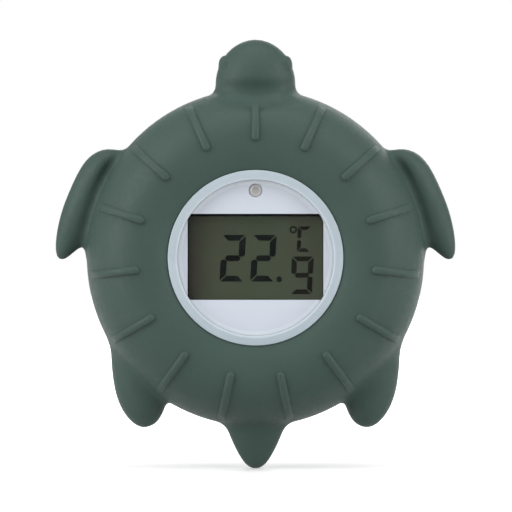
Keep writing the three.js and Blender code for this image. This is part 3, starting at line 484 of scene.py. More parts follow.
def ridge(index):
    """A half-round bead laid along the shell's front from its inner end outwards, where it fades."""
    angle = 2 * math.pi * index / RIDGE_COUNT
    outer = TOP_RIDGE_OUTER if index == 0 else RIDGE_OUTER
    span, rise = SHELL_RADIUS - CREST_RADIUS, -CREST_Y
    turns = 2 * math.pi * np.arange(RIDGE_SIDES) / RIDGE_SIDES
    across, upward = (np.sign(wave) * np.abs(wave) ** 0.8 for wave in (np.cos(turns), np.sin(turns)))
    stations = RIDGE_INNER + (outer - RIDGE_INNER) * np.linspace(0.001, 1, 40) ** 1.3
    points = []
    for radius in stations:
        lean = (radius - CREST_RADIUS) / span
        drop = math.sqrt(1 - lean ** 2)
        normal = np.array([lean / span, -drop / rise])
        normal /= np.linalg.norm(normal)
        tip = min((radius - RIDGE_INNER) / RIDGE_HALF_WIDTH, 1)
        blunt = math.sqrt(1 - (1 - tip) ** 2)
        fade = np.clip((outer - radius) / RIDGE_FADE, 0, 1)
        height = RIDGE_HEIGHT * blunt * fade * (2 - fade)
        for u, v in zip(across, upward):
            lift = v * (height if v > 0 else RIDGE_ROOT)
            r, y = radius + normal[0] * lift, CREST_Y * drop + normal[1] * lift
            side = u * RIDGE_HALF_WIDTH * blunt
            x = r * math.sin(angle) + side * math.cos(angle)
            z = r * math.cos(angle) - side * math.sin(angle)
            points.append((x, y, z))
    return new_object("ridge", points, tube_faces(len(stations), RIDGE_SIDES))


def hollow_cutter():
    """The capsule's space, with rounded lips at the window and at the open back."""
    lip_radius, lip_y, past_y = 21.3, -15.01, BACK_Y + 2
    back_radius, front_y, floor_y = 34.2, -18, DECK_Y - FIT
    window_lip = rounded([(WINDOW_RADIUS, -14.3), (WINDOW_RADIUS, -14.77, 0.3), (lip_radius, lip_y)], 6)
    back_lip = rounded([
        (CAVITY_RADIUS, BACK_Y - 0.9), (CAVITY_RADIUS, BACK_Y, 0.9), (back_radius, BACK_Y + 0.03),
    ], 6)
    return lathe("hollow", [
        (0, front_y),
        (lip_radius, front_y),
        *window_lip[::-1],
        (WINDOW_RADIUS, floor_y),
        (CAVITY_RADIUS - CAVITY_CHAMFER, floor_y),
        (CAVITY_RADIUS, floor_y + CAVITY_CHAMFER),
        *back_lip,
        (back_radius, past_y),
        (0, past_y),
    ], 240)


def make_jacket():
    """The turtle's outside, hollowed for the capsule, with its ridges laid on."""
    reach = np.array([50.0, 18.5, 53.5])
    axes = [np.arange(-r, r + NET_STEP, NET_STEP) for r in reach]
    grid = np.stack(np.meshgrid(*axes, indexing="ij"), -1)
    values = jacket_distance(grid.reshape(-1, 3)).reshape(grid.shape[:3])
    points, faces = surface_net(values, -reach, NET_STEP)
    points = onto_surface(points, jacket_distance)
    body = new_object("turtle_jacket", points, faces)
    combine(body, [hollow_cutter()])
    return combine(body, [ridge(index) for index in range(RIDGE_COUNT)], "UNION")


# ---- capsule pieces


def screw_places():
    """The (x, z) places of the four case screws, one in each quarter."""
    return around((0, 0), CASE_SCREW_CIRCLE, (45, 135, 225, 315))


BOARD_POSTS = [(-20.4, 0), (20.4, 0), (0, -18.2)]


def view_outline():
    """The display opening: rounded corners, and the upper right one cut off."""
    left, right = -VIEW_WIDTH / 2, VIEW_WIDTH / 2
    low, high = DISPLAY_Z - VIEW_HEIGHT / 2, DISPLAY_Z + VIEW_HEIGHT / 2
    cut_x, cut_z = 0.95, 1.8
    return rounded([
        (left, low, 0.6),
        (right, low, 0.6),
        (right, high - cut_z, 0.5),
        (right - cut_x, high, 0.35),
        (left, high, 0.6),
    ], closed=True)


def window_lens():
    """A clear disc with a broad bevel, a raised lip inside it and a slightly sunk middle."""
    middle_y = LENS_FRONT_Y + 0.15
    return lathe("clear_window", [
        (0, middle_y),
        (17.5, middle_y, 0.25),
        (18.5, LENS_FRONT_Y, 0.15),
        (18.95, LENS_FRONT_Y, 0.15),
        (LENS_RADIUS, LENS_FRONT_Y + 0.45, 0.2),
        (LENS_RADIUS, LENS_BACK_Y, 0.12),
        (0, LENS_BACK_Y),
    ], 192)


def face_plate():
    """The mask behind the window, with the display's opening and the lamp's hole."""
    plate = lathe("white_face_plate", [
        (0, FACE_FRONT_Y),
        (FACE_RADIUS, FACE_FRONT_Y, 0.12),
        (FACE_RADIUS, FACE_BACK_Y, 0.12),
        (0, FACE_BACK_Y),
    ], 192)
    opening = prism("opening", view_outline(), FACE_FRONT_Y - 1, FACE_BACK_Y + 1)
    lamp_hole = drum("lamp_hole", LED_RADIUS + 0.1, FACE_FRONT_Y - 1, FACE_BACK_Y + 1, (0, LED_Z))
    return combine(plate, [opening, lamp_hole])


def front_case():
    """The front shell: a shallow cup whose turret carries the window."""
    inside = CASE_RADIUS - CASE_WALL
    floor_y = TURRET_Y + 0.35
    cup = lathe("front_shell", [
        (0, floor_y),
        (TURRET_BORE, floor_y, 0.1),
        (TURRET_BORE, TURRET_Y, 0.1),
        (LENS_RADIUS, TURRET_Y, 0.15),
        (LENS_RADIUS, DECK_Y, 0.2),
        (CASE_RADIUS - CASE_CHAMFER, DECK_Y, 0.8),
        (CASE_RADIUS, DECK_Y + CASE_CHAMFER, 0.8),
        (CASE_RADIUS, PARTING_Y, 0.2),
        (inside, PARTING_Y, 0.1),
        (inside, DISPLAY_WALL_Y + 2, 0.5),
        (inside - 2, DISPLAY_WALL_Y, 0.5),
        (0, DISPLAY_WALL_Y),
    ], 192)
    root_y, pilot_y = DISPLAY_WALL_Y - 0.5, DISPLAY_WALL_Y + 0.5
    boss_radius, post_radius, boss_pilot, post_pilot = 2.9, 1.5, 1.2, 0.9
    posts = [drum("boss", boss_radius, root_y, PARTING_Y - FIT, spot, 32) for spot in screw_places()]
    posts += [drum("post", post_radius, root_y, BOARD_FRONT_Y - 0.1, spot, 32) for spot in BOARD_POSTS]
    combine(cup, posts, "UNION")
    window = rectangle(VIEW_WIDTH, VIEW_HEIGHT, centre=(0, DISPLAY_Z))
    holes = [prism("window", window, TURRET_Y - 1, DISPLAY_WALL_Y + 1)]
    holes.append(drum("lamp_hole", LED_RADIUS + 0.1, TURRET_Y - 1, DISPLAY_WALL_Y + 1, (0, LED_Z), 48))
    holes += [drum("pilot", boss_pilot, pilot_y, PARTING_Y, spot, 24) for spot in screw_places()]
    holes += [drum("pilot", post_pilot, pilot_y, BOARD_FRONT_Y, spot, 24) for spot in BOARD_POSTS]
    return combine(cup, holes)


def thread(name, inner, outer, start_angle):
    """A thread's ridge about the battery's axis: a trapezium carried once round a right-handed helix."""
    root, crest = THREAD_WIDTH / 2, THREAD_WIDTH / 4
    section = [(inner, -root), (outer, -crest), (outer, crest), (inner, root)]
    if outer < inner:
        section.reverse()
    points = []
    for swept in 2 * math.pi * np.arange(THREAD_STEPS + 1) / THREAD_STEPS:
        angle = start_angle + swept
        for radius, offset in section:
            y = THREAD_START_Y + THREAD_PITCH * swept / (2 * math.pi) + offset
            points.append((radius * math.sin(angle), y, BATTERY_Z + radius * math.cos(angle)))
    return new_object(name, points, tube_faces(THREAD_STEPS + 1, len(section)))


def rear_case():
    """The back shell, with the battery well, the button's pocket, the probe's seat and screw wells."""
    inside, wall_y = CASE_RADIUS - CASE_WALL, CASE_BACK_Y - CASE_WALL
    middle_y = CASE_BACK_Y - CASE_WALL / 2
    shell = lathe("rear_shell", [
        (0, wall_y),
        (inside, wall_y, 1.2),
        (inside, PARTING_Y + FIT, 0.1),
        (CASE_RADIUS, PARTING_Y + FIT, 0.2),
        (CASE_RADIUS, CASE_BACK_Y, 1.3),
        (0, CASE_BACK_Y),
    ], 192)
    narrow, wide = 12.1, 15.0
    floor_y, step_y = WELL_FLOOR_Y - 1.5, CELL_POCKET_TOP_Y - 1.5
    solids = [lathe("well", [
        (0, floor_y),
        (narrow, floor_y, 0.3),
        (narrow, step_y, 0.3),
        (wide, step_y, 0.3),
        (wide, middle_y),
        (0, middle_y),
    ], 128, (0, BATTERY_Z))]
    for spot in screw_places():
        solids.append(drum("boss", SCREW_WELL_RADIUS + 1.3, PARTING_Y + FIT, middle_y, spot, 48))
    solids.append(drum("boss", BUTTON_RADIUS + 1.6, BOSS_FLOOR_Y, middle_y, BUTTON))
    solids.append(drum("boss", 6.2, BOSS_FLOOR_Y, middle_y, PROBE))
    combine(shell, solids, "UNION")
    combine(shell, rear_cuts() + case_marks())
    bore_thread = thread("bore_thread", WELL_BORE_RADIUS + FIT, WELL_BORE_RADIUS - THREAD_DEPTH, 0)
    return combine(shell, [bore_thread], "UNION")


def rear_cuts():
    """The tools that cut the back shell's well, pocket, seat, holes, seal groove and contact slots."""
    battery, past_y, mouth = (0, BATTERY_Z), CASE_BACK_Y + 1, CAP_FLANGE_RADIUS + 1
    cuts = [lathe("well_hollow", [
        (0, WELL_FLOOR_Y),
        (CELL_POCKET_RADIUS, WELL_FLOOR_Y),
        (CELL_POCKET_RADIUS, CELL_POCKET_TOP_Y),
        (WELL_BORE_RADIUS, CELL_POCKET_TOP_Y),
        (WELL_BORE_RADIUS, CAP_SEAT_Y, 0.15),
        (CAP_FLANGE_RADIUS + FIT, CAP_SEAT_Y),
        (CAP_FLANGE_RADIUS + FIT, CASE_BACK_Y, 0.35),
        (mouth, CASE_BACK_Y),
        (mouth, past_y),
        (0, past_y),
    ], 160, battery)]
    cuts.append(lipped_hole("pocket", BUTTON_RADIUS + FIT, 11.9, 0.4, BUTTON))
    cuts.append(drum("stem_hole", 1.8, BOSS_FLOOR_Y - 1, CASE_BACK_Y, BUTTON, 32))
    cuts.append(lipped_hole("probe_seat", 4.9, 13.0, 0.25, PROBE))
    cuts.append(drum("probe_hole", 3.7, BOSS_FLOOR_Y - 1, CASE_BACK_Y, PROBE, 48))
    for spot in screw_places():
        cuts.append(lipped_hole("screw_well", SCREW_WELL_RADIUS, 1.0, 0.3, spot))
        cuts.append(drum("screw_hole", 1.3, PARTING_Y - 1, 2, spot, 24))
    cuts.append(washer("groove", 31.3, 32.5, PARTING_Y, PARTING_Y + FIT + 0.9, segments=192))
    for x, depth, back_y in ((10.5, 1.3, CELL_POCKET_TOP_Y), (-5.5, 1.0, WELL_FLOOR_Y + 1)):
        slot = rectangle(depth, 3.6, centre=(x, BATTERY_Z))
        cuts.append(prism("contact_slot", slot, WELL_FLOOR_Y - 2, back_y))
    return cuts


def lipped_hole(name, radius, floor_y, lip, centre):
    """A tool for a round blind hole in the back of the case, with a softened mouth."""
    mouth, past_y = radius + 2 * lip, CASE_BACK_Y + 1
    return lathe(name, [
        (0, floor_y),
        (radius, floor_y),
        (radius, CASE_BACK_Y, lip),
        (mouth, CASE_BACK_Y),
        (mouth, past_y),
        (0, past_y),
    ], 64, centre)


def arc_arrow(name, radius, start, end, centre):
    """A tool that engraves an arrow bent round centre, from start to end in degrees from the top."""
    width, head_length = 0.9, 2.2
    neck = end - math.degrees(head_length / radius)
    shaft = np.linspace(start, neck, 20)
    spots = around(centre, radius + width / 2, shaft)
    spots += around(centre, radius + width * 1.3, [neck])
    spots += around(centre, radius, [end])
    spots += around(centre, radius - width * 1.3, [neck])
    spots += around(centre, radius - width / 2, shaft[::-1])
    return prism(name, spots[::-1], CASE_BACK_Y - MARK_DEPTH, CASE_BACK_Y + 1)


def case_marks():
    """Tools that engrave a dot and a ring on the case, at the cap's shut and open places."""
    near_y, far_y = CASE_BACK_Y - MARK_DEPTH, CASE_BACK_Y + 1
    shut = drum("shut_dot", 0.8, near_y, far_y, (0, BATTERY_Z + MARK_CIRCLE), 32)
    return [shut, washer("open_ring", 0.5, 1.1, near_y, far_y, (MARK_CIRCLE, BATTERY_Z), 40)]


def battery_cap():
    """A threaded cap with a coin slot, a groove for its ring and engraved turning arrows."""
    battery = (0, BATTERY_Z)
    seat_y, groove_y, groove_radius = CAP_SEAT_Y + 0.1, CAP_SEAT_Y - 1.2, CAP_CORE_RADIUS - 0.4
    cap = lathe("threaded_cap", [
        (0, CAP_END_Y),
        (CAP_CORE_RADIUS, CAP_END_Y, 0.4),
        (CAP_CORE_RADIUS, groove_y, 0.1),
        (groove_radius, groove_y),
        (groove_radius, seat_y),
        (CAP_FLANGE_RADIUS, seat_y, 0.15),
        (CAP_FLANGE_RADIUS, CASE_BACK_Y, 0.45),
        (0, CASE_BACK_Y),
    ], 160, battery)
    turn = thread("cap_thread", CAP_CORE_RADIUS - 0.3, CAP_CORE_RADIUS + THREAD_DEPTH, -math.pi)
    combine(cap, [turn], "UNION")
    slot_length, slot_width, arrow_radius = 19, 2.2, 11.6
    slot = rectangle(slot_length, slot_width, 1.05, battery, steps=8)
    tools = [prism("coin_slot", slot, CASE_BACK_Y - 1, CASE_BACK_Y + 1)]
    tools.append(drum("hollow", 10.2, CAP_END_Y - 1, CAP_SEAT_Y - 0.8, battery, 96))
    tools += [arc_arrow("arrow", arrow_radius, top - 32, top + 32, battery) for top in (0, 180)]
    return combine(cap, tools)


def power_button():
    """A soft button with a dished top, a power sign and the stem that reaches the switch."""
    stem_radius, stem_y, under_y = 1.5, 1.65, BUTTON_BACK_Y - 1.5
    button = lathe("power_key", [
        (0, stem_y),
        (stem_radius, stem_y, 0.3),
        (stem_radius, under_y, 0.3),
        (BUTTON_RADIUS, under_y, 0.2),
        (BUTTON_RADIUS, BUTTON_BACK_Y, 0.6),
        (BUTTON_RADIUS - 1, BUTTON_BACK_Y, 0.3),
        (0, BUTTON_BACK_Y - 0.2),
    ], 96, BUTTON)
    x, z = BUTTON
    near_y, far_y = BUTTON_BACK_Y - MARK_DEPTH, BUTTON_BACK_Y + 1
    arc = np.linspace(35, 325, 28)
    sign = around(BUTTON, 1.75, arc) + around(BUTTON, 1.35, arc[::-1])
    loop = prism("sign_loop", sign[::-1], near_y, far_y)
    bar = prism("sign_bar", rectangle(0.4, 1.6, 0.15, (x, z + 1.3)), near_y, far_y)
    return combine(button, [loop, bar])


def probe_cap():
    """A turned steel cup, closed and faintly domed where it meets the water."""
    end_y, step_y, flange_y = CASE_BACK_Y - 0.9, 9.8, 13.5
    return lathe("probe_cup", [
        (0, end_y),
        (2.6, end_y, 0.3),
        (2.6, step_y),
        (3.4, step_y, 0.1),
        (3.4, flange_y),
        (4.6, flange_y, 0.1),
        (4.6, CASE_BACK_Y - 0.12, 0.35),
        (2.5, CASE_BACK_Y, 1.5),
        (0, CASE_BACK_Y),
    ], 96, PROBE)


def screw_plug(name, centre):
    """A soft plug with a notch to lift it by."""
    back_y = CASE_BACK_Y - 0.1
    radius = SCREW_WELL_RADIUS - 0.1
    plug = lathe(name, [
        (0, back_y - 3),
        (radius - 0.6, back_y - 3, 0.2),
        (radius, back_y - 2.4, 0.2),
        (radius, back_y, 0.45),
        (0, back_y),
    ], 48, centre)
    inward = 1 - radius / math.hypot(*centre)
    edge = (centre[0] * inward, centre[1] * inward)
    return combine(plug, [drum("notch", 0.6, back_y - 0.4, back_y + 1, edge, 24)])


def rubber_ring(name, inner, outer, front_y, back_y, centre=(0, 0), segments=128):
    """A sealing ring with well-rounded corners."""
    soft = 0.45 * min(outer - inner, back_y - front_y)
    return washer(name, inner, outer, front_y, back_y, centre, segments, soft)


def indicator_led():
    """A clear 3 mm lamp: a dome, a straight body and a flange."""
    radius, dome_height = LED_RADIUS + 0.07, 0.75
    flange_radius, flange_y, end_y = 1.8, -9.3, -8.3
    dome = quarter((0, LED_TIP_Y + dome_height), (radius, dome_height), -90, 0, 16)
    dome[0, 0] = 0
    return lathe("clear_lamp", [
        *dome,
        (radius, flange_y),
        (flange_radius, flange_y, 0.1),
        (flange_radius, end_y, 0.1),
        (0, end_y),
    ], 64, (0, LED_Z))


def coin_cell():
    """A 20 x 3.2 mm cell, narrower at its front terminal."""
    radius, terminal, back_y = 10, 8.8, CELL_FRONT_Y + 3.2
    return lathe("button_cell", [
        (0, CELL_FRONT_Y),
        (terminal, CELL_FRONT_Y, 0.3),
        (terminal, CELL_FRONT_Y + 0.35, 0.1),
        (radius, CELL_FRONT_Y + 0.75, 0.3),
        (radius, back_y, 0.4),
        (0, back_y),
    ], 96, (0, BATTERY_Z))


# ---- display ink


SLANT = math.tan(math.radians(3))


def digit_segments(letters, centre_x, low, high, width, upright, level, gap=0.25):
    """Outlines of a seven-segment digit's lit bars, as letters from a to g. Its box is width by
    high - low, upright bars are upright wide and level bars are level tall."""
    half, middle = width / 2, (low + high) / 2
    g, u, v = gap, upright, level
    inset = u + 0.3 * g
    top = [(-half + g, high), (half - g, high), (half - inset, high - v), (-half + inset, high - v)]
    right = [
        (half, high - g), (half, middle + v / 2), (half - u / 2, middle + g),
        (half - u, middle + v / 2), (half - u, high - v - g),
    ]
    bar = [
        (-half + u / 2 + g, middle), (-half + u, middle + v / 2), (half - u, middle + v / 2),
        (half - u / 2 - g, middle), (half - u, middle - v / 2), (-half + u, middle - v / 2),
    ]
    flip_x = [(-x, z) for x, z in right]
    shapes = {
        "a": top,
        "b": right,
        "c": [(x, 2 * middle - z) for x, z in right],
        "d": [(x, 2 * middle - z) for x, z in top],
        "e": [(x, 2 * middle - z) for x, z in flip_x],
        "f": flip_x,
        "g": bar,
    }
    outlines = []
    for letter in letters:
        outline = [(centre_x + x + SLANT * (z - middle), z) for x, z in shapes[letter]]
        outlines.append(anticlockwise(outline))
    return outlines


def anticlockwise(outline):
    area = 0
    for (x0, z0), (x1, z1) in zip(outline, outline[1:] + outline[:1]):
        area += x0 * z1 - x1 * z0
    return outline if area > 0 else outline[::-1]


def circle(x, z, radius, steps=32):
    angles = 2 * math.pi * np.arange(steps) / steps
    return [(x + radius * math.cos(a), z + radius * math.sin(a)) for a in angles]


def join(name, things):
    """One object that holds several objects' separate solids."""
    points, faces = [], []
    for thing in things:
        base = len(points)
        points += [tuple(v.co / MM) for v in thing.data.vertices]
        faces += [[base + i for i in face.vertices] for face in thing.data.polygons]
        bpy.data.objects.remove(thing)
    shift = np.array((0, RIM_Y, AXIS_Z))
    return new_object(name, np.array(points) - shift, faces)


def display_ink():
    """The lit bars, the point and the degree ring, as a thin layer on the glass."""
    large = dict(low=-5.66, high=5.4, width=5.75, upright=1.5, level=1.38)
    small = dict(low=-8.66, high=0.29, width=5.2, upright=1.26, level=1.14)
    unit = dict(low=1.39, high=7.42, width=3.2, upright=0.95, level=0.85, gap=0.16)
    outlines = digit_segments("abged", -5.4, **large) + digit_segments("abged", 1.88, **large)
    outlines += digit_segments("abcdfg", 11.03, **small) + digit_segments("afed", 11.5, **unit)
    outlines.append(circle(5.64, -5.14, 0.7))
    back_y = INK_Y + INK_THICKNESS
    bars = [prism("bar", outline, INK_Y, back_y) for outline in outlines]
    bars.append(washer("degree", 0.48, 0.9, INK_Y, back_y, (8.98, 6.65)))
    return join("display_digits", bars)


def display_border():
    """A dark line round the opening: broad along the top, narrow at the sides, a hair below."""
    under_mask = 0.3
    left, right = -VIEW_WIDTH / 2 - under_mask, VIEW_WIDTH / 2 + under_mask
    low, high = DISPLAY_Z - VIEW_HEIGHT / 2 - under_mask, DISPLAY_Z + VIEW_HEIGHT / 2 + under_mask
    back_y = INK_Y + INK_THICKNESS
    outer = prism("display_border", [(left, low), (right, low), (right, high), (left, high)], INK_Y, back_y)
    inner = rounded([
        (left + 0.55, low + 0.38, 0.5),
        (right - 0.42, low + 0.38, 0.5),
        (right - 0.42, high - 2.1, 0.4),
        (right - 1.35, high - 0.9, 0.3),
        (left + 0.55, high - 0.9, 0.5),
    ], closed=True)
    return combine(outer, [prism("inner", inner, INK_Y - 1, back_y + 1)])


# ---- materials


class Material:
    """A Principled material and short calls for the nodes that drive it."""

    def __init__(self, name, **constants):
        self.material = bpy.data.materials.new(name)
        self.material.use_nodes = True
        self.nodes = self.material.node_tree.nodes
        self.links = self.material.node_tree.links
        self.shader = self.nodes["Principled BSDF"]
        for socket, value in constants.items():
            self.shader.inputs[socket.replace("_", " ")].default_value = value
        self.place = self.nodes.new("ShaderNodeTexCoord").outputs["Object"]

    def vector(self, operation, source, *values):
        node = self.nodes.new("ShaderNodeVectorMath")
        node.operation = operation
        self.links.new(source, node.inputs[0])
        for socket, value in zip(node.inputs[1:], values):
            socket.default_value = value
        return node

    def noise(self, size_mm, detail=2.0, roughness=0.5, stretch=None):
        """Noise with features of about size_mm, longer along an axis with a small stretch."""
        texture = self.nodes.new("ShaderNodeTexNoise")
        texture.inputs["Scale"].default_value = 1 / (size_mm * MM)
        texture.inputs["Detail"].default_value = detail
        texture.inputs["Roughness"].default_value = roughness
        source = self.place if stretch is None else self.vector("MULTIPLY", self.place, stretch).outputs[0]
        self.links.new(source, texture.inputs["Vector"])
        return texture.outputs["Fac"]

    def along(self, axis):
        """The place along an axis of the row's frame, in millimetres."""
        split = self.nodes.new("ShaderNodeSeparateXYZ")
        scaled = self.vector("SCALE", self.place)
        scaled.inputs["Scale"].default_value = 1 / MM
        self.links.new(scaled.outputs[0], split.inputs[0])
        return split.outputs[axis]

    def radius_from(self, x, z):
        """Millimetres from the line along y through (x, z) in the capsule's frame."""
        shifted = self.vector("SUBTRACT", self.place, (x * MM, 0, (z + AXIS_Z) * MM)).outputs[0]
        flat = self.vector("MULTIPLY", shifted, (1 / MM, 0, 1 / MM)).outputs[0]
        return self.vector("LENGTH", flat).outputs["Value"]

    def spread(self, value, low, high, from_low=0.3, from_high=0.7):
        """Maps from_low to from_high, by default the middle of a noise, onto low to high."""
        node = self.nodes.new("ShaderNodeMapRange")
        limits = {"From Min": from_low, "From Max": from_high, "To Min": low, "To Max": high}
        for socket, limit in limits.items():
            node.inputs[socket].default_value = limit
        self.links.new(value, node.inputs["Value"])
        return node.outputs["Result"]

    def ramp(self, value, *stops):
        """A colour that changes with value, by (value, colour) stops, colours being 3 numbers."""
        node = self.nodes.new("ShaderNodeValToRGB")
        low, high = stops[0][0], stops[-1][0]
        elements = node.color_ramp.elements
        while len(elements) < len(stops):
            elements.new(0.5)
        for element, (at, colour) in zip(elements, stops):
            element.position = (at - low) / (high - low)
            element.color = (*colour, 1)
        self.links.new(self.spread(value, 0, 1, low, high), node.inputs[0])
        return node.outputs[0]

    def blend(self, factor, first, second):
        """A colour between first and second, each three numbers or a socket."""
        node = self.nodes.new("ShaderNodeMix")
        node.data_type = "RGBA"
        self.links.new(factor, node.inputs[0])
        for socket, colour in ((node.inputs[6], first), (node.inputs[7], second)):
            if isinstance(colour, bpy.types.NodeSocket):
                self.links.new(colour, socket)
            else:
                socket.default_value = (*colour, 1)
        return node.outputs[2]

    def drive(self, socket, source):
        self.links.new(source, self.shader.inputs[socket])

    def mottle(self, size_mm, first, second, most=1.0, **noise):
        """Colours the surface first, with up to most of second in blotches of size_mm."""
        share = self.spread(self.noise(size_mm, **noise), 0, most)
        self.drive("Base Color", self.blend(share, first, second))

    def roughen(self, size_mm, low, high, **noise):
        """Varies the roughness between low and high in patches of size_mm."""
        self.drive("Roughness", self.spread(self.noise(size_mm, **noise), low, high))

    def bump(self, *heights):
        """Bumps chained from (value, depth in mm) pairs."""
        normal = None
        for value, depth_mm in heights:
            node = self.nodes.new("ShaderNodeBump")
            node.inputs["Strength"].default_value = 1.0
            node.inputs["Distance"].default_value = depth_mm * MM
            self.links.new(value, node.inputs["Height"])
            if normal is not None:
                self.links.new(normal, node.inputs["Normal"])
            normal = node.outputs["Normal"]
        self.links.new(normal, self.shader.inputs["Normal"])


def screen(red, green, blue):
    """A linear colour from 0 to 255 screen values."""
    return tuple(((v / 255 + 0.055) / 1.055) ** 2.4 for v in (red, green, blue))


def silicone_material():
    """Soft grey-green silicone with a faint mottle, fine specks and grain."""
    look = Material("green_silicone", IOR=1.41, Sheen_Weight=0.04, Sheen_Roughness=0.5)
    tint = look.spread(look.noise(14, detail=3), 0, 1)
    speck = look.spread(look.noise(0.35, detail=2), 0, 0.35, 0, 1)
    base = look.blend(tint, screen(50, 72, 64), screen(55, 76, 69))
    look.drive("Base Color", look.blend(speck, base, screen(60, 81, 74)))
    look.roughen(1.2, 0.5, 0.64, detail=4)
    look.bump((look.noise(0.18, detail=3, roughness=0.6), 0.012), (look.noise(2.5), 0.01))
    return look.material


def plastic_material(name, dark, light, roughness=(0.35, 0.5), grain_mm=0.25, depth_mm=0.006):
    look = Material(name)
    look.mottle(6, dark, light, detail=3)
    look.roughen(grain_mm * 4, *roughness, detail=3)
    look.bump((look.noise(grain_mm), depth_mm))
    return look.material


def metal_material(name, colour, roughness=(0.22, 0.38), stretch=(1, 1, 1)):
    """Metal with a fine grain, longer along an axis with a small stretch."""
    grain_mm, depth_mm = 0.4, 0.0006
    look = Material(name, Metallic=1.0)
    brushed = look.noise(grain_mm, detail=4, stretch=stretch)
    darker = tuple(v * 0.9 for v in colour)
    look.drive("Base Color", look.blend(look.spread(brushed, 0, 1), darker, colour))
    look.roughen(grain_mm * 2, *roughness, detail=3, stretch=stretch)
    look.bump((brushed, depth_mm))
    return look.material


def window_material():
    """Clear acrylic, clear in its flat middle, with a painted highlight along its lip and painted grey-blue
    shade on its bevel.
    """
    look = Material("clear_acrylic", IOR=1.49)
    radius = look.radius_from(0, 0)
    # Painted light: the pale stops from 18.55 to 18.8 mm are a painted highlight along the lip, and the
    # greyer stops beyond them are painted shade on the bevel.
    tint = look.ramp(
        radius, (18.3, (0.0,) * 3), (18.55, screen(220, 231, 239)), (18.8, screen(218, 229, 237)),
        (19.0, screen(206, 219, 227)), (20.75, screen(208, 221, 229)),
    )
    look.mottle(5, tint, screen(190, 205, 214), 0.2)
    # The ring is made partly opaque so that its painted highlight and shade show.
    look.drive("Alpha", look.ramp(radius, (18.3, (0.02,) * 3), (18.5, (0.6,) * 3), (20.75, (0.72,) * 3)))
    look.roughen(1.5, 0.06, 0.12, detail=3)
    look.bump((look.noise(3), 0.004))
    return look.material


def face_material():
    """White paint, with painted light in the ring under the window's lip and bevel, against the shadow the
    window's ring casts there.
    """
    look = Material("face_paint")
    # edge is painted light: the ring from 17.6 mm outwards is made paler to lift the shadow that the
    # window's ring casts on it.
    middle, edge = screen(219, 226, 237), screen(235, 240, 247)
    tint = look.ramp(look.radius_from(0, 0), (17.3, middle), (17.6, edge), (19.3, edge))
    look.mottle(4, tint, screen(216, 225, 236), 0.25)
    look.roughen(0.8, 0.4, 0.52, detail=3)
    look.bump((look.noise(0.2), 0.004))
    return look.material


def display_ground_material():
    """The display's grey-green ground, with painted shade, darker and browner, towards its left edge by the
    opening's wall.
    """
    look = Material("display_ground", Specular_IOR_Level=0.1)
    # Painted shade: the two darkest stops, up to 1.8 mm in from the left edge, stand for the shade of the
    # opening's wall.
    ground = look.ramp(
        look.along("X"), (-16.1, screen(46, 43, 38)), (-14.3, screen(66, 64, 55)),
        (-9, screen(76, 83, 67)), (2, screen(73, 84, 67)), (16.1, screen(80, 84, 70)),
    )
    look.mottle(7, ground, screen(76, 84, 62), 0.4)
    look.roughen(2, 0.3, 0.42, detail=3)
    look.bump((look.noise(0.12), 0.002))
    return look.material


def display_ink_material():
    """Near-black ink, browner towards the right."""
    look = Material("display_ink", Specular_IOR_Level=0.05)
    ink = look.ramp(
        look.along("X"), (-9, screen(6, 14, 10)), (4, screen(8, 13, 15)), (8, screen(24, 22, 17)),
        (14, screen(26, 24, 19)),
    )
    look.mottle(1.2, ink, screen(14, 18, 16), 0.4)
    look.roughen(1, 0.35, 0.5)
    look.bump((look.noise(0.3), 0.002))
    return look.material


def film_material():
    """The polariser's matt clear film."""
    look = Material("polariser_film", Alpha=0.02)
    look.mottle(5, (0.05, 0.055, 0.045), (0.07, 0.075, 0.06))
    look.roughen(0.8, 0.22, 0.32, detail=3)
    look.bump((look.noise(4), 0.003))
    return look.material


def lamp_material():
    """Clear lamp plastic, painted darker in the middle for the grey cup inside, with a painted highlight at
    its centre and a painted band of light at its edge.
    """
    look = Material("clear_lamp_plastic", Coat_Weight=0.6, Coat_Roughness=0.05)
    radius = look.radius_from(0, LED_Z)
    # Painted light: the pale stop at the centre is a painted highlight, and the pale stops from 1.15 mm out
    # are a painted band of light at the edge.
    tint = look.ramp(
        radius, (0, screen(205, 202, 198)), (0.3, screen(172, 169, 166)), (0.75, screen(182, 178, 173)),
        (1.15, screen(224, 221, 215)), (1.57, screen(250, 248, 244)),
    )
    look.mottle(0.6, tint, screen(150, 148, 146), 0.3)
    look.roughen(0.4, 0.1, 0.2)
    look.bump((look.noise(0.5), 0.004))
    return look.material


def board_material():
    """Green lacquer over copper tracks."""
    look = Material("board_lacquer", Coat_Weight=0.3, Coat_Roughness=0.2)
    tracks = look.nodes.new("ShaderNodeTexBrick")
    tracks.inputs["Scale"].default_value = 1 / (4 * MM)
    tracks.inputs["Mortar Size"].default_value = 0.06
    swap, merge = look.nodes.new("ShaderNodeSeparateXYZ"), look.nodes.new("ShaderNodeCombineXYZ")
    look.links.new(look.place, swap.inputs[0])
    look.links.new(swap.outputs["X"], merge.inputs["X"])
    look.links.new(swap.outputs["Z"], merge.inputs["Y"])
    look.links.new(merge.outputs[0], tracks.inputs["Vector"])
    base = look.blend(look.spread(look.noise(4), 0, 1), (0.012, 0.09, 0.036), (0.016, 0.12, 0.05))
    look.drive("Base Color", look.blend(tracks.outputs["Fac"], base, (0.03, 0.2, 0.08)))
    look.roughen(0.8, 0.3, 0.45)
    look.bump((tracks.outputs["Fac"], 0.03))
    return look.material


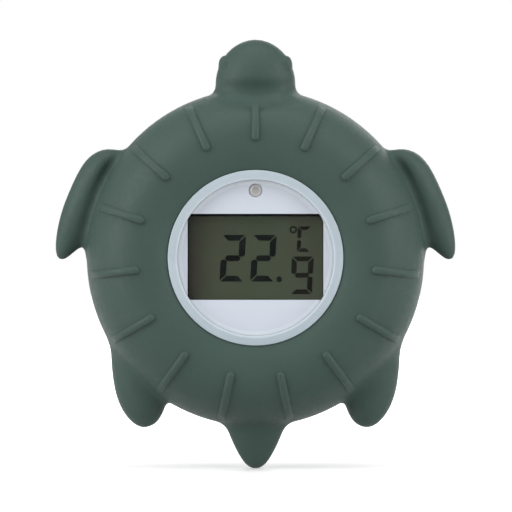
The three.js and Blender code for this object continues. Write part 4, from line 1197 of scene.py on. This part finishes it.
def all_materials():
    """The material for each of the record's slots."""
    matt, satin = (0.6, 0.75), (0.5, 0.65)
    plastics = {
        "white_case": ("white_case_plastic", screen(217, 221, 226), screen(221, 225, 230)),
        "black_plastic": ("black_plastic", (0.010, 0.011, 0.012), (0.016, 0.017, 0.018)),
        "zebra_rubber": ("zebra_rubber", (0.45, 0.16, 0.27), (0.55, 0.21, 0.34), matt),
        "epoxy": ("black_epoxy", (0.006,) * 3, (0.01,) * 3, (0.2, 0.35), 1.5, 0.03),
        "ceramic": ("ceramic", (0.4, 0.27, 0.14), (0.5, 0.36, 0.2), satin),
        "seal_rubber": ("seal_rubber", (0.02, 0.022, 0.024), (0.03, 0.032, 0.034), matt),
        "plug_silicone": ("plug_silicone", screen(186, 193, 200), screen(196, 202, 208), satin),
        "grey_button": ("grey_rubber", screen(128, 138, 144), screen(138, 148, 154), satin),
        "red_wire": ("red_sleeve", (0.3, 0.012, 0.012), (0.42, 0.02, 0.018)),
        "black_wire": ("black_sleeve", (0.009,) * 3, (0.016,) * 3),
    }
    looks = {slot: plastic_material(*values) for slot, values in plastics.items()}
    looks["steel"] = metal_material("turned_steel", (0.56, 0.57, 0.58), stretch=(1, 0.1, 1))
    looks["tin"] = metal_material("tinned_metal", (0.6, 0.61, 0.62), (0.3, 0.45), (1, 1, 0.08))
    looks["nickel"] = metal_material("nickel_plate", (0.62, 0.59, 0.53), (0.15, 0.3))
    looks["silicone"] = silicone_material()
    looks["clear_window"] = window_material()
    looks["face_plate"] = face_material()
    looks["display_glass"] = display_ground_material()
    looks["display_film"] = film_material()
    looks["display_ink"] = display_ink_material()
    looks["board"] = board_material()
    looks["led_plastic"] = lamp_material()
    return looks


# ---- assembly


def finish_piece(piece, body, slot, replaces=(), look=None):
    """Smooth shading, a material, and the piece's place in the frame."""
    mesh = piece.data
    mesh.shade_smooth()
    mesh.set_sharp_from_angle(angle=math.radians(SMOOTH_ANGLE))
    mesh.materials.clear()
    mesh.materials.append(LOOKS[look or slot])
    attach(piece, body)
    if replaces:
        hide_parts(*replaces)


def add_front_pieces():
    finish_piece(front_case(), "module", "white_case", ["front_case"])
    finish_piece(window_lens(), "module", "clear_window", ["window_lens"])
    finish_piece(face_plate(), "module", "face_plate", ["face_plate"])
    finish_piece(display_ink(), "module", "black_plastic", look="display_ink")
    finish_piece(display_border(), "module", "black_plastic", look="display_ink")
    finish_piece(indicator_led(), "module", "led_plastic", ["indicator_led"])


def add_back_pieces():
    finish_piece(rear_case(), "module", "white_case", ["rear_case"])
    finish_piece(battery_cap(), "battery_cap", "white_case", ["battery_cap"])
    finish_piece(power_button(), "power_button", "grey_button", ["power_button"])
    finish_piece(probe_cap(), "module", "steel", ["probe_cap"])
    finish_piece(coin_cell(), "module", "steel", ["coin_cell"])
    for number, spot in enumerate(screw_places(), 1):
        plug = screw_plug(f"soft_plug_{number}", spot)
        finish_piece(plug, "module", "plug_silicone", [f"screw_plug_{number}"])


def add_seals():
    """The five sealing rings, by node, body, and inner and outer radius, front and back."""
    rings = (
        ("case_seal", "module", (31.4, 32.4, -1.9, -0.9)),
        ("lens_seal", "module", (19.6, 20.6, -13.5, -13.2)),
        ("battery_cap_seal", "cap_carriage", (11.9, 13.2, 12.0, 13.1, (0, BATTERY_Z))),
        ("button_seal", "module", (1.6, 3.2, 11.95, 12.2, BUTTON, 48)),
        ("probe_seal", "module", (3.8, 4.6, 13.05, 13.45, PROBE, 64)),
    )
    for node, body, sizes in rings:
        finish_piece(rubber_ring(node + "_ring", *sizes), body, "seal_rubber", [node])


def dress_frame():
    """Gives each CAD node the material of its slot in the record."""
    for subpart in frame["record"]["subparts"]:
        for slot in frame["nodes"][subpart["node"]].material_slots:
            slot.material = LOOKS[subpart["material_slot"]]


# ---- scene


def add_area_light(name, place_m, aim_m, size_m, watts):
    data = bpy.data.lights.new(name, "AREA")
    data.shape = "RECTANGLE"
    data.size, data.size_y = size_m
    data.energy = watts
    lamp = bpy.data.objects.new(name, data)
    lamp.location = place_m
    lamp.rotation_euler = (Vector(aim_m) - Vector(place_m)).to_track_quat("-Z", "Y").to_euler()
    bpy.context.scene.collection.objects.link(lamp)


def make_camera():
    """Square on to the display and level with it, with 0.24 mm to a pixel at the object."""
    pixels, pixel_mm = 512, 0.24
    field = pixels * pixel_mm * MM
    distance = 0.9
    elevation = math.radians(0.2)
    aim = Vector((0.12 * MM, 0, AXIS_Z * MM + 0.36 * MM))
    data = bpy.data.cameras.new("camera")
    data.sensor_width = 36
    data.lens = data.sensor_width * distance / field
    camera = bpy.data.objects.new("camera", data)
    camera.location = aim + distance * Vector((0, -math.cos(elevation), math.sin(elevation)))
    camera.rotation_euler = (math.pi / 2 - elevation, 0, 0)
    bpy.context.scene.collection.objects.link(camera)
    bpy.context.scene.camera = camera


def make_floor():
    """A pale floor that glows, more the farther it is from the object, so that it fades into the white."""
    half = 3000
    corners = [(-half, -half, 0), (half, -half, 0), (half, half, 0), (-half, half, 0)]
    floor = new_object("floor", corners, [(0, 1, 2, 3)])
    floor.location = (0, -RIM_Y * MM, -AXIS_Z * MM)
    look = Material("studio_floor")
    pale = look.blend(look.spread(look.noise(300), 0, 1), (0.78, 0.78, 0.78), (0.82, 0.82, 0.82))
    look.drive("Base Color", pale)
    look.drive("Roughness", look.spread(look.noise(40, detail=3), 0.65, 0.75))
    look.bump((look.noise(1.5), 0.01))
    near_m, far_m = 0.08, 0.6
    distance = look.vector("LENGTH", look.place).outputs["Value"]
    look.shader.inputs["Emission Color"].default_value = (1, 1, 1, 1)
    look.drive("Emission Strength", look.spread(distance, FLOOR_GLOW_NEAR, FLOOR_GLOW_FAR, near_m, far_m))
    floor.data.materials.append(look.material)
    floor.visible_diffuse = False


def make_world():
    """An even white surround, which lights the object less than it shows behind it."""
    world = bpy.data.worlds.new("studio")
    world.use_nodes = True
    nodes, links = world.node_tree.nodes, world.node_tree.links
    background = nodes["Background"]
    background.inputs["Color"].default_value = (1, 1, 1, 1)
    path, choose = nodes.new("ShaderNodeLightPath"), nodes.new("ShaderNodeMapRange")
    choose.inputs["To Min"].default_value = SURROUND_LIGHT
    choose.inputs["To Max"].default_value = 1.0
    links.new(path.outputs["Is Camera Ray"], choose.inputs["Value"])
    links.new(choose.outputs["Result"], background.inputs["Strength"])
    bpy.context.scene.world = world
    bpy.context.scene.view_settings.view_transform = "Standard"


def make_lights():
    centre = (0, 0, AXIS_Z * MM)
    add_area_light("left", (-0.75, -0.42, 0.32), centre, (0.7, 0.9), 6.3)
    add_area_light("right", (0.78, -0.36, 0.3), centre, (0.7, 0.9), 4.9)
    add_area_light("top", (0, -0.25, 0.9), centre, (0.9, 0.6), 3.3)
    add_area_light("back", (0.2, 0.95, 0.35), centre, (0.9, 0.7), 4.5)


LOOKS = all_materials()
make_camera()
make_floor()
make_world()
make_lights()
dress_frame()
finish_piece(make_jacket(), "jacket", "silicone", ["silicone_jacket"])
add_front_pieces()
add_back_pieces()
add_seals()
